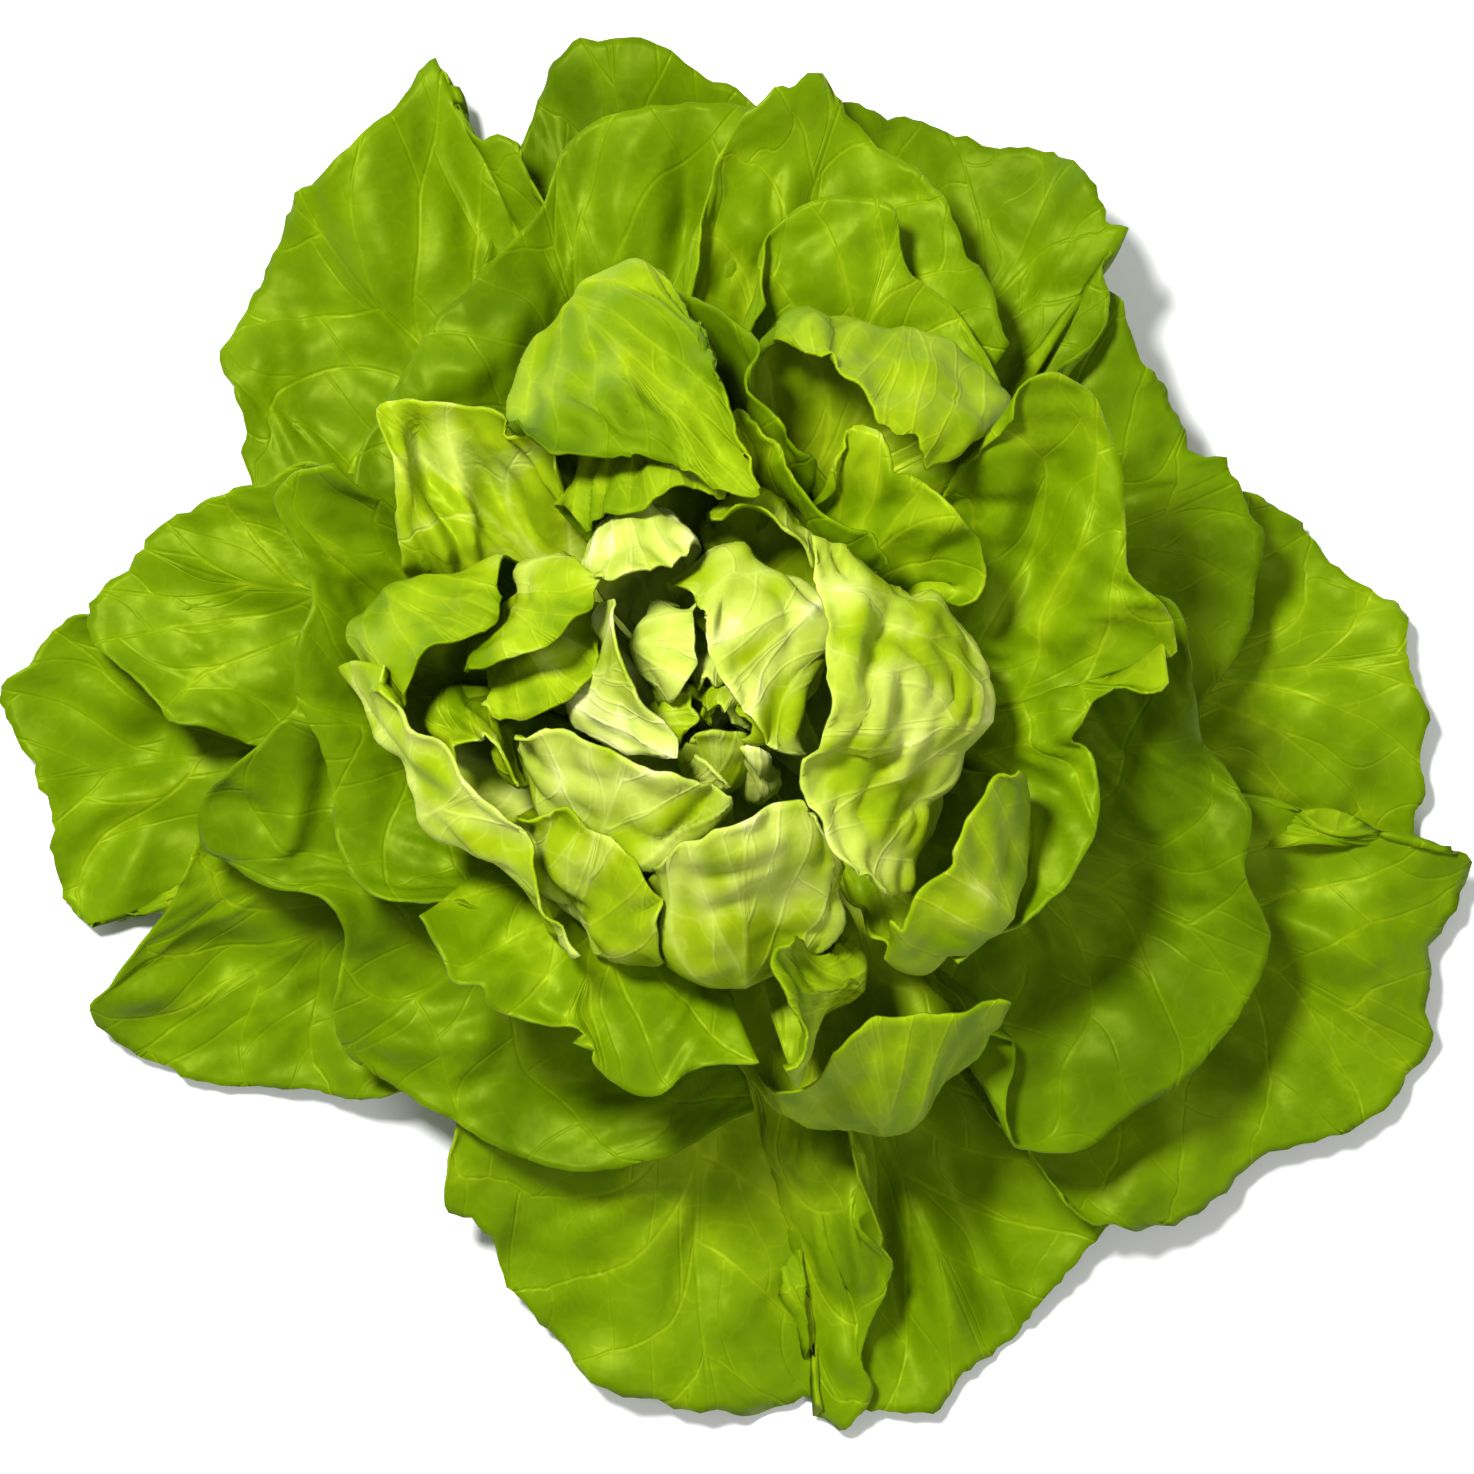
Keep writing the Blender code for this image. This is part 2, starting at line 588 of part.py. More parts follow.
def settle(sheets):
    """Moves the sheets apart until each lies on the inner side of those before it."""
    first = [sheet.copy() for sheet in sheets]
    hold = np.clip(np.linspace(0, 1, SHEET_ROWS) / 0.4, 0, 1)
    room = np.repeat(hold, SHEET_COLUMNS)
    for _ in range(SETTLE_ROUNDS):
        flat = [sheet.reshape(-1, 3) for sheet in sheets]
        facing = [normals(sheet).reshape(-1, 3) for sheet in sheets]
        covers = [cover(sheet) for sheet in sheets]
        squares = [(points ** 2).sum(axis=1) for points in flat]
        lows = [points.min(axis=0) for points in flat]
        highs = [points.max(axis=0) for points in flat]
        moves = [np.zeros_like(points) for points in flat]
        for a in range(1, len(sheets)):
            for b in range(a):
                if (lows[a] > highs[b] + 2).any() or (lows[b] > highs[a] + 2).any():
                    continue
                apart = squares[a][:, None] + squares[b][None, :] - 2 * flat[a] @ flat[b].T
                to_b, to_a = apart.argmin(axis=1), apart.argmin(axis=0)
                moves[a] += press(flat[a], flat[b], facing[b], covers[b], to_b, 1, room)
                moves[b] += press(flat[b], flat[a], facing[a], covers[a], to_a, -1, room)
        for k, sheet in enumerate(sheets):
            move = softened(softened(moves[k].reshape(sheet.shape)))
            size = np.linalg.norm(move, axis=2, keepdims=True)
            move *= np.minimum(1, 2.0 / np.maximum(size, 1e-9))
            shift = sheet + 0.4 * hold[:, None, None] * move - first[k]
            size = np.linalg.norm(shift, axis=2, keepdims=True)
            sheets[k] = first[k] + shift * np.minimum(1, MOST_SHIFT / np.maximum(size, 1e-9))
            sheets[k][2:, :, 2] = np.maximum(sheets[k][2:, :, 2], GROUND_CLEARANCE)
    return sheets


def resampled(field, runs, places):
    """A grid of vectors read smoothly at other runs and places."""
    rows = np.linspace(0, 1, field.shape[0])
    columns = np.linspace(0, 1, field.shape[1])
    tall = hermite(rows, field.reshape(len(rows), -1), runs).reshape(len(runs), len(columns), 3)
    wide = tall.transpose(1, 0, 2).reshape(len(columns), -1)
    return hermite(columns, wide, places).reshape(len(places), len(runs), 3).transpose(1, 0, 2)


def settled_leaves():
    """Each leaf with its seat and how far settling moves its sheet."""
    leaves = [turned(leaf) for leaf in LEAVES]
    seats = seat_heights(leaves)
    runs, places = np.linspace(0, 1, SHEET_ROWS), np.linspace(0, 1, SHEET_COLUMNS)
    first = [fan(leaf, seat, runs, places) for leaf, seat in zip(leaves, seats)]
    last = settle([sheet.copy() for sheet in first])
    return [(leaf, seat, after - before) for leaf, seat, before, after in zip(leaves, seats, first, last)]


def blade_thickness(leaf, runs, places):
    """Thin at the rim, thicker to the foot, with a midrib that fades out on the way to the tip."""
    side = 2 * places[None, :] - 1
    down = (1 - runs)[:, None]
    foot = base_thickness(leaf)
    rib = RIB_THICKNESS * foot / BASE_THICKNESS * np.exp(-((side / 0.16) ** 2))
    return RIM_THICKNESS + (foot - RIM_THICKNESS) * down ** 2 + rib * down * (1 - down ** 4)


def even_normals(surface):
    """The normals evened out with their neighbours, so that the two sides of a tight fold keep apart."""
    facing = normals(surface)
    for _ in range(NORMAL_ROUNDS):
        facing = softened(facing)
    return facing / np.maximum(np.linalg.norm(facing, axis=2, keepdims=True), 1e-9)


def blade_mesh(middle, thickness):
    """A closed sheet of the given thickness round a grid of middle points."""
    rows, columns = middle.shape[:2]
    offset = even_normals(middle) * thickness[..., None] / 2
    points = np.concatenate([(middle + offset).reshape(-1, 3), (middle - offset).reshape(-1, 3)])
    count = rows * columns
    upper = grid_faces(rows, columns)
    lower = [(a + count, c + count, b + count) for a, b, c in upper]
    ring = [c for c in range(columns)]
    ring += [r * columns + columns - 1 for r in range(1, rows)]
    ring += [(rows - 1) * columns + c for c in range(columns - 2, -1, -1)]
    ring += [r * columns for r in range(rows - 2, 0, -1)]
    edge = []
    for a, b in zip(ring, ring[1:] + ring[:1]):
        edge += [(a, b, b + count), (a, b + count, a + count)]
    return points, upper + lower + edge


def lathe_mesh(profile, sides):
    """A closed turned body from (height, radius) pairs, bottom to top."""
    points, faces = [], []
    for z, r in profile:
        for k in range(sides):
            angle = 2 * math.pi * k / sides
            points.append((r * math.cos(angle), r * math.sin(angle), z))
    for ring in range(len(profile) - 1):
        for k in range(sides):
            a, b = ring * sides + k, ring * sides + (k + 1) % sides
            faces.append((a, b, b + sides, a + sides))
    faces.append(tuple(range(sides - 1, -1, -1)))
    top = (len(profile) - 1) * sides
    faces.append(tuple(range(top, top + sides)))
    return np.array(points), faces


def make_material(name, colour, roughness):
    material = bpy.data.materials.new(name)
    material.use_nodes = True
    shader = material.node_tree.nodes["Principled BSDF"]
    shader.inputs["Base Color"].default_value = (*colour, 1.0)
    shader.inputs["Roughness"].default_value = roughness
    shader.inputs["Metallic"].default_value = 0.0
    return material


def make_object(name, points, faces, material):
    mesh = bpy.data.meshes.new(name)
    mesh.from_pydata((np.asarray(points) * MM).tolist(), [], faces)
    mesh.materials.append(material)
    mesh.update()
    obj = bpy.data.objects.new(name, mesh)
    bpy.context.scene.collection.objects.link(obj)
    return obj


def leaf_solid(leaf, seat, shift, material):
    across, along = leaf.cells
    runs, places = np.linspace(0, 1, along + 1), np.linspace(0, 1, across + 1)
    middle = fan(leaf, seat, runs, places) + resampled(shift, runs, places)
    points, faces = blade_mesh(middle, blade_thickness(leaf, runs, places))
    return make_object(leaf.name, points, faces, material)


def stem_solid(material):
    profile = [(z, float(stem_radius(z))) for z, _ in STEM_RADII]
    points, faces = lathe_mesh(profile, STEM_SIDES)
    return make_object("stem", points, faces, material)


def leaf_colour(height):
    """Darker green on the low outer leaves, paler and yellower towards the heart."""
    share = min(max(height / 90, 0.0), 1.0)
    outer, inner = np.array((0.19, 0.37, 0.010)), np.array((0.47, 0.62, 0.060))
    return tuple(outer + (inner - outer) * share)


def build():
    for obj in list(bpy.data.objects):
        bpy.data.objects.remove(obj, do_unlink=True)
    stem_solid(make_material("stem", (0.62, 0.66, 0.36), 0.5))
    for leaf, seat, shift in settled_leaves():
        colour = leaf_colour(max(leaf.rim_heights))
        leaf_solid(leaf, seat, shift, make_material(leaf.name, colour, 0.42))


build()
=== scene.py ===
"""Butterhead lettuce: finely modelled leaves over the frame's solids, their materials, and the studio."""

import math
from collections import namedtuple

import bpy
import numpy as np
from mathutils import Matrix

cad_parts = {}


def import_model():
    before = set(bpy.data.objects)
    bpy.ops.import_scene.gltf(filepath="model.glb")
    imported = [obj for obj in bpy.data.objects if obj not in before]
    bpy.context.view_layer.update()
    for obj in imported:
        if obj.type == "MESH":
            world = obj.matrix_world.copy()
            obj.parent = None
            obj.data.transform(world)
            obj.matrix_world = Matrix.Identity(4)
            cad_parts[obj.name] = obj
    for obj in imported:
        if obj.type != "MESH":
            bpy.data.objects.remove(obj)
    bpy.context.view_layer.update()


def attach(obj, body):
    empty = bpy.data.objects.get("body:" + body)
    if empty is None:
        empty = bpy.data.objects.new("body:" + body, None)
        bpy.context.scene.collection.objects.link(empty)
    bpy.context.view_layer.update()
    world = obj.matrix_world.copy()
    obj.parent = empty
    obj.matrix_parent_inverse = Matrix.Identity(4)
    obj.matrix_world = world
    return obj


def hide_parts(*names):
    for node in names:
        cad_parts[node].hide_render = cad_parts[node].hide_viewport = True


MM = 0.001

# Stem, in mm: a pale stump, cut flat at the bottom.
STEM_HEIGHT = 61.0
STEM_RADII = ((0.0, 14.0), (1.2, 15.2), (14.0, 14.4), (26.0, 12.0), (38.0, 8.8), (46.0, 6.6),
              (54.0, 5.0), (STEM_HEIGHT, 2.6))

# The frame's blades, in mm, as the solids have them.
GAP = 0.35
BASE_THICKNESS = 1.7
INNER_BASE_THICKNESS = 1.2
STEEP_LAUNCH = 60
LOWEST_SEAT = 4.5
SEAT_STEP = 2.7
RIM_WAVE = 1.6
RIM_WAVELENGTH = 52.0
FULL_WAVE_RIM = 170.0
TUCK = 4.0
TUCK_SHARE = 0.7
TUCK_LAUNCH = 56

# How the sheets come to rest on each other, as in the frame.
SHEET_ROWS = 9
SHEET_COLUMNS = 17
SHEET_SPACING = 2.0
SHEET_REACH = 4.0
MOST_SHIFT = 9.0
SETTLE_ROUNDS = 14
GROUND_CLEARANCE = 2.2

# Fine leaf surface, in mm.
CELL = 1.75
INNER_CELL = 1.3
INNER_LENGTH = 95
BLADE = 0.5
FOOT_BLADE = 1.6
VEIN_SPACING = 17
CROSS_SPACING = 13
VEIN_SLANT = 0.62
QUILT = 1.15
QUILT_WIDTH = 4.0
SWELL = 2.1
BUCKLE = 0.7
DIMPLE = 0.4
GRAIN = 0.14
LOWEST = 0.4
FRILL = 0.7
INNER_FRILL = 0.22
WRINKLE = 0.45
HEART_WRINKLE = 1.05
WRINKLE_SPACING = 9.0
BLISTER_SPACING = 12.0
FOLD_WANDER = 3.0
SWELL_WAVE = 38
BUCKLE_WAVE = 20
DIMPLE_WAVE = 12
GRAIN_WAVE = 5.5
MIDRIB_WIDTH = 5.0
MIDRIB_HEIGHT = 1.3

# How the rungs shift from one side vein to the next, as a share of their spacing, and the random seeds
# that each leaf may use.
GOLDEN_STEP = 0.618
SEEDS_PER_LEAF = 100

# How much paler the leaf turns towards its foot, beside its veins and in patches, from 0 to 1, and how
# wide the pale bands and patches are, in mm.
BASE_PALE = 0.42
INNER_BASE_PALE = 0.12
HALO_PALE = 0.10
HALO_WIDTH = 2.6
PATCH_PALE = 0.11
PATCH_WAVE = 18

# Shading: sizes in metres, and colours from the deepest green or the clean flesh up.
NETTING_SIZE = 0.0075
MOTTLE_SIZE = 0.026
GRAIN_SIZE = 0.0018
PUCKER_SIZE = 0.005
SHINE_THROUGH = 0.06
GLOSS_TINT = (0.85, 1.0, 0.10, 1)
LEAF_COLOURS = (
    (0.0, (0.055, 0.110, 0.0003, 1)),
    (0.3, (0.112, 0.198, 0.0004, 1)),
    (0.55, (0.250, 0.345, 0.004, 1)),
    (0.8, (0.47, 0.55, 0.10, 1)),
    (1.0, (0.82, 0.82, 0.40, 1)),
)
STEM_COLOURS = (
    (0.0, (0.66, 0.72, 0.40, 1)),
    (0.45, (0.62, 0.55, 0.30, 1)),
    (1.0, (0.36, 0.20, 0.07, 1)),
)

# Studio, in metres and watts, but for the view's centre and level in mm: the camera looks straight down.
PHOTO_PIXELS = 1474
MM_PER_PIXEL = 0.2
CAMERA_HEIGHT = 2.6
FRAMED_LEVEL = 12.0
VIEW_CENTRE = (5.0, -5.0)
SENSOR = 36.0
SKY_STRENGTH = 0.34
KEY_PLACE, KEY_SIZE, KEY_POWER = (-0.62, 0.75, 1.62), 0.4, 66
FILL_PLACE, FILL_SIZE, FILL_POWER = (0.9, -0.7, 1.6), 1.0, 12
FLOOR_REACH = 3.0
FLOOR_COLOUR = (0.86, 0.86, 0.86)

Leaf = namedtuple(
    "Leaf", "name azimuth half_width launch pale rim rim_heights mid mid_heights", defaults=((), ())
)

# Leaves from the lowest and outermost to the innermost, as in the frame. Angles in degrees, lengths in
# mm. pale is 0 for the deepest green and 1 for the creamiest heart. The rim is the leaf's free edge seen
# from above, with heights spread evenly along it. A leaf that hoods over has a second line, mid, where it
# bulges widest.
LEAVES = (
    Leaf(
        "outer_top", 98, 38, 12, 0.16,
        ((-48, 88), (-42, 104), (-37, 115), (-35, 123), (-32, 130), (-27, 134), (-20, 135),
         (-12, 134), (-4, 129), (2, 125), (8, 122), (12, 112), (13, 98)),
        (18, 10, 5, 4, 6, 10, 18),
    ),
    Leaf(
        "outer_left", 182, 38, 10, 0.24,
        ((-102, 22), (-114, 21), (-125, 19), (-130, 17), (-137, 11), (-142, 4), (-141, -2),
         (-137, -10), (-133, -19), (-132, -30), (-129, -39), (-124, -43), (-114, -39), (-107, -35),
         (-94, -30)),
        (18, 10, 5, 4, 3, 5, 9),
    ),
    Leaf(
        "outer_bottom_right", 291, 38, 10, 0.24,
        ((16, -108), (19, -126), (24, -136), (29, -140), (38, -141), (46, -139), (51, -132),
         (60, -126), (68, -116), (79, -103), (84, -88), (83, -74)),
        (14, 7, 4, 3, 6, 10, 18),
    ),
    Leaf(
        "outer_right", 1, 38, 10, 0.32,
        ((118, -38), (133, -32), (140, -27), (142, -16), (142, 2), (139, 14), (139, 21), (135, 23),
         (126, 30), (116, 39), (106, 45), (92, 48)),
        (8, 5, 4, 5, 3, 8, 16),
    ),
    Leaf(
        "outer_top_left", 130, 38, 14, 0.24,
        ((-76, 22), (-88, 34), (-92, 46), (-94, 56), (-95, 63), (-99, 71), (-94, 79), (-89, 90),
         (-84, 102), (-75, 111), (-62, 123), (-56, 131), (-51, 122), (-46, 116), (-38, 115),
         (-32, 104), (-30, 92)),
        (20, 14, 8, 6, 10, 9, 14, 24),
    ),
    Leaf(
        "outer_bottom_left", 205, 38, 12, 0.24,
        ((-92, -18), (-102, -28), (-107, -36), (-112, -43), (-120, -53), (-125, -60), (-116, -69),
         (-102, -74), (-90, -75), (-76, -77), (-62, -76), (-50, -72)),
        (25, 18, 11, 5, 5, 9, 18),
    ),
    Leaf(
        "outer_left_upper", 164, 38, 17, 0.24,
        ((-106, -2), (-120, 10), (-125, 20), (-118, 31), (-106, 40), (-92, 45), (-83, 47), (-72, 42)),
        (24, 16, 13, 16, 22, 32),
    ),
    Leaf(
        "outer_right_lower", 338, 38, 14, 0.26,
        ((64, -92), (76, -102), (88, -103), (98, -100), (110, -89), (120, -86), (134, -80),
         (143, -69), (144, -58), (144, -48), (148, -41), (152, -29), (138, -27), (124, -27),
         (108, -29), (101, -37)),
        (20, 12, 6, 5, 7, 11, 13, 15),
    ),
    Leaf(
        "outer_right_upper", 22, 38, 18, 0.18,
        ((95, -10), (96, -4), (98, 2), (106, 14), (109, 27), (108, 40), (103, 50), (98, 51), (92, 60),
         (84, 73), (79, 84), (68, 88)),
        (26, 20, 18, 20, 24, 28, 32),
    ),
    Leaf(
        "outer_bottom", 262, 38, 14, 0.30,
        ((-54, -70), (-50, -82), (-53, -91), (-53, -98), (-44, -106), (-40, -116), (-30, -128),
         (-21, -135), (-6, -139), (8, -141), (18, -138), (19, -142), (25, -145), (29, -141),
         (30, -128), (34, -116), (32, -102), (27, -90), (24, -80)),
        (26, 16, 9, 6, 5, 6, 10, 20, 30),
    ),
    Leaf(
        "outer_top_right", 53, 38, 20, 0.16,
        ((70, 56), (70, 68), (76, 74), (78, 82), (78, 92), (84, 96), (79, 97), (77, 104), (73, 109),
         (62, 113), (52, 114), (42, 118), (26, 121), (16, 119), (13, 108)),
        (38, 32, 26, 22, 20, 24, 32),
    ),
    Leaf(
        "top", 112, 38, 24, 0.22,
        ((-73, 38), (-69, 52), (-64, 61), (-56, 76), (-44, 89), (-34, 100), (-29, 112), (-22, 118),
         (-12, 120), (-2, 121), (7, 120), (16, 114), (18, 100)),
        (44, 42, 36, 30, 28, 32, 38),
    ),
    Leaf(
        "top_crinkled", 80, 38, 26, 0.26,
        ((-2, 86), (0, 102), (7, 120), (15, 124), (20, 127), (25, 122), (33, 112), (42, 106),
         (48, 98), (50, 92), (56, 82), (58, 72)),
        (42, 40, 36, 34, 36, 40, 42),
    ),
    Leaf(
        "right_cup", 333, 38, 26, 0.14,
        ((76, 24), (91, 22), (96, 6), (97, -7), (103, -14), (107, -20), (106, -32), (111, -46),
         (106, -59), (98, -69), (91, -75), (82, -81), (75, -86), (69, -87), (64, -86), (60, -81),
         (58, -78), (58, -68), (50, -64)),
        (50, 44, 38, 34, 30, 28, 28, 32, 36, 40),
    ),
    Leaf(
        "lower_left", 232, 38, 28, 0.22,
        ((-84, -2), (-95, -11), (-101, -18), (-102, -23), (-101, -28), (-95, -31), (-86, -36),
         (-76, -39), (-73, -45), (-74, -53), (-75, -60), (-72, -70), (-62, -76), (-52, -81),
         (-44, -86), (-34, -90), (-20, -91), (-6, -87), (3, -82), (9, -79)),
        (40, 34, 30, 32, 30, 26, 24, 26, 28, 34),
    ),
    Leaf(
        "lower_fold", 295, 38, 36, 0.32,
        ((13, -75), (18, -72), (23, -63), (28, -59), (38, -59), (47, -58), (55, -56), (59, -57)),
        (50, 54, 57, 58, 56, 54),
        ((10, -76), (14, -79), (23, -82), (35, -83), (41, -80), (46, -74), (50, -70), (54, -65)),
        (42, 40, 40, 42, 46),
    ),
    Leaf(
        "left", 186, 38, 32, 0.24,
        ((-74, 48), (-82, 47), (-86, 42), (-84, 36), (-80, 29), (-79, 21), (-82, 14), (-82, 3),
         (-78, -6), (-74, -18), (-73, -27), (-69, -34), (-62, -38), (-52, -40), (-42, -39)),
        (64, 58, 54, 54, 50, 48, 50, 54, 62),
    ),
    Leaf(
        "top_right_strip", 64, 38, 32, 0.30,
        ((10, 80), (12, 94), (18, 100), (28, 102), (36, 100), (38, 89), (42, 84), (47, 80), (52, 73),
         (56, 68), (59, 61)),
        (50, 46, 46, 46, 46, 48),
    ),
    Leaf(
        "top_right_hood", 68, 26, 44, 0.34,
        ((18, 70), (24, 70), (25, 66), (30, 63), (34, 58), (41, 53), (43, 46)),
        (78, 80, 82, 82, 78),
        ((13, 72), (14, 75), (18, 77), (22, 74), (28, 75), (33, 73), (41, 73), (46, 72), (51, 68),
         (58, 62), (58, 57)),
        (62, 62, 60, 58, 58, 58),
    ),
    Leaf(
        "right_wave", 350, 38, 40, 0.34,
        ((61, 57), (62, 63), (66, 66), (73, 62), (79, 51), (81, 39), (82, 28), (89, 22), (91, 14),
         (90, 10), (80, 8), (75, 4), (72, -2), (70, -6), (75, -11), (76, -16), (75, -25), (72, -30),
         (64, -39), (55, -43), (48, -50)),
        (74, 72, 68, 64, 60, 60, 62, 60, 60, 62, 66),
    ),
    Leaf(
        "bottom_wave", 248, 38, 36, 0.32,
        ((-57, -40), (-52, -49), (-50, -53), (-45, -54), (-43, -57), (-37, -59), (-32, -61),
         (-28, -60), (-25, -62), (-25, -68), (-21, -72), (-15, -75), (-10, -75), (-5, -71), (2, -69),
         (9, -68)),
        (64, 66, 68, 66, 62, 62, 63),
        ((-53, -38), (-46, -43), (-40, -46), (-30, -47), (-21, -53), (-12, -57), (-3, -60), (5, -59)),
        (58, 60, 60, 58, 56),
    ),
    Leaf(
        "curl", 288, 21, 47, 0.34,
        ((15, -43), (11, -46), (10, -50), (13, -54), (17, -60), (19, -64), (18, -67), (14, -69)),
        (74, 76, 78, 76, 76),
        ((22, -46), (25, -50), (28, -54), (29, -58), (26, -62), (22, -65), (20, -70), (16, -73)),
        (62, 62, 62, 62, 64),
    ),
    Leaf(
        "top_valley", 71, 26, 42, 0.22,
        ((-8, 82), (-3, 80), (4, 76), (9, 72), (9, 63), (12, 59), (16, 56), (17, 52), (20, 50),
         (25, 43)),
        (58, 64, 70, 72, 70, 64),
    ),
    Leaf(
        "top_cap", 103, 30, 59, 0.22,
        ((-39, 56), (-36, 52), (-32, 50), (-24, 49), (-20, 50), (-14, 48), (-7, 49), (2, 43),
         (10, 41), (7, 52), (4, 59), (2, 67), (-2, 73)),
        (80, 84, 86, 88, 88, 86, 80),
        ((-41, 54), (-38, 60), (-36, 64), (-33, 70), (-27, 77), (-22, 82), (-14, 85), (-9, 84),
         (-3, 78)),
        (62, 62, 64, 64, 66),
    ),
    Leaf(
        "upper_left_wrinkled", 142, 30, 48, 0.54,
        ((-59, 19), (-61, 31), (-63, 48), (-65, 60), (-56, 60), (-49, 59), (-45, 59), (-43, 57),
         (-39, 54), (-34, 50), (-31, 46)),
        (60, 66, 70, 70, 72, 74, 74),
    ),
    Leaf(
        "left_hood", 206, 32, 54, 0.56,
        ((-64, 10), (-67, 3), (-60, 2), (-56, -3), (-52, -6), (-47, -12), (-40, -20), (-36, -27),
         (-35, -32), (-34, -36), (-32, -41), (-29, -44), (-25, -47)),
        (78, 82, 84, 84, 82, 78),
        ((-68, 11), (-68, -2), (-65, -7), (-61, -11), (-56, -17), (-51, -22), (-43, -27), (-40, -30),
         (-36, -35), (-31, -45)),
        (60, 68, 72, 70, 66),
    ),
    Leaf(
        "left_lobe", 165, 28, 56, 0.36,
        ((-58, 1), (-55, 10), (-50, 12), (-45, 14), (-40, 18), (-39, 22), (-40, 25)),
        (74, 78, 80, 80, 78),
        ((-66, 4), (-67, 7), (-69, 12), (-68, 16), (-64, 19), (-60, 21), (-54, 22), (-44, 24),
         (-40, 28)),
        (62, 64, 66, 68, 70),
    ),
    Leaf(
        "upper_right_fold", 42, 26, 56, 0.40,
        ((25, 48), (28, 55), (32, 55), (34, 52), (35, 46), (42, 44), (48, 39), (52, 31), (52, 27),
         (50, 24), (46, 21)),
        (72, 74, 76, 76, 72, 70),
    ),
    Leaf(
        "upper_right_ruffle", 62, 26, 58, 0.36,
        ((3, 57), (5, 59), (9, 57), (11, 52), (14, 49), (18, 44), (23, 39), (32, 35), (35, 29)),
        (74, 76, 78, 78, 76),
    ),
    Leaf(
        "lower_right_hood", 333, 22, 55, 0.40,
        ((60, -11), (55, -12), (52, -16), (47, -25), (46, -28), (47, -30), (41, -37), (40, -41),
         (37, -44), (34, -42)),
        (76, 78, 80, 80, 78, 76),
        ((60, -13), (61, -18), (60, -27), (59, -35), (56, -41), (51, -46), (44, -50), (39, -49),
         (36, -46)),
        (64, 64, 64, 64, 66),
    ),
    Leaf(
        "right_heart", 0, 34, 54, 0.58,
        ((19, 34), (19, 28), (21, 21), (21, 16), (20, 12), (21, 5), (21, -2), (20, -7), (17, -9),
         (18, -14), (22, -21), (26, -30), (34, -35)),
        (84, 90, 94, 94, 92, 86),
        ((32, 22), (47, 19), (52, 12), (54, 5), (52, -2), (46, -13), (44, -16), (44, -19), (42, -26),
         (38, -35)),
        (66, 66, 66, 66, 66),
    ),
    Leaf(
        "top_inner", 112, 23, 56, 0.28,
        ((-25, 36), (-22, 38), (-15, 37), (-9, 41), (-3, 43), (2, 41)),
        (78, 80, 82, 82, 80),
        ((-26, 44), (-23, 51), (-17, 56), (-6, 56), (3, 51)),
        (68, 68, 68, 68),
    ),
    Leaf(
        "lower_left_small", 188, 22, 61, 0.38,
        ((-51, -11), (-52, -7), (-48, -4), (-44, -3), (-42, -6), (-41, -9), (-38, -15)),
        (72, 76, 78, 78, 76),
        ((-53, -10), (-55, -4), (-50, 1), (-44, 0), (-40, -4), (-40, -8), (-37, -15)),
        (67.5, 69.5, 69.5, 69.5, 67.5),
    ),
    Leaf(
        "left_inner", 168, 24, 60, 0.40,
        ((-46, 6), (-38, 8), (-28, 12), (-22, 18), (-19, 23), (-20, 26)),
        (82, 86, 88, 88),
        ((-47, 8), (-46, 11), (-41, 16), (-34, 21), (-33, 27), (-29, 28)),
        (72, 72, 74, 76),
    ),
    Leaf(
        "bottom_left_inner", 229, 28, 66, 0.50,
        ((-37, -19), (-32, -20), (-28, -18), (-25, -24), (-18, -27), (-11, -34), (-8, -39)),
        (78, 82, 82, 80, 78),
        ((-37, -20), (-33, -26), (-32, -31), (-29, -35), (-25, -39), (-22, -45), (-14, -48),
         (-7, -47)),
        (64, 64, 64, 64),
    ),
    Leaf(
        "bottom_inner", 276, 28, 60, 0.54,
        ((-11, -28), (-6, -24), (4, -20), (10, -18), (18, -17), (22, -21)),
        (84, 88, 88, 86, 84),
        ((-10, -32), (-8, -38), (-7, -47), (2, -49), (10, -48), (18, -45), (24, -42), (25, -32)),
        (68, 66, 64, 64, 66),
    ),
    Leaf(
        "left_tuck", 178, 22, 61, 0.42,
        ((-45, 1), (-40, -1), (-36, -1), (-31, 1), (-23, 5), (-20, 10), (-20, 13)),
        (76, 80, 82, 82, 80),
        ((-44, 4), (-42, 10), (-36, 14), (-30, 18), (-23, 20)),
        (68, 70, 70, 71),
    ),
    Leaf(
        "top_flap", 122, 22, 64, 0.64,
        ((-26, 25), (-21, 24), (-15, 25), (-8, 28), (-4, 30)),
        (86, 90, 90, 88),
        ((-26, 28), (-21, 33), (-14, 37), (-10, 36), (-7, 35), (-4, 33)),
        (75, 76, 76, 76),
    ),
    Leaf(
        "lower_left_heart", 236, 26, 66, 0.60,
        ((-38, -7), (-28, -5), (-24, -6), (-15, -10), (-6, -12), (0, -15), (5, -18)),
        (84, 90, 92, 92, 90),
        ((-40, -8), (-36, -14), (-28, -20), (-23, -22), (-15, -26), (-11, -27), (-7, -25), (3, -20)),
        (72, 72, 72, 74),
    ),
    Leaf(
        "upper_right_heart", 68, 22, 68, 0.42,
        ((0, 38), (6, 37), (12, 35), (18, 32), (20, 28)),
        (80, 84, 84, 82),
        ((-1, 40), (9, 40), (18, 36), (23, 29)),
        (68, 68, 68, 68),
    ),
    Leaf(
        "heart_left", 215, 34, 72, 0.66,
        ((-18, 22), (-16, 15), (-14, 8), (-11, 1), (-7, -5), (-6, -9)),
        (88, 92, 92, 90, 88),
        ((-20, 20), (-20, 13), (-20, 8), (-23, 3), (-23, -2), (-20, -7)),
        (78, 78, 78, 78),
    ),
    Leaf(
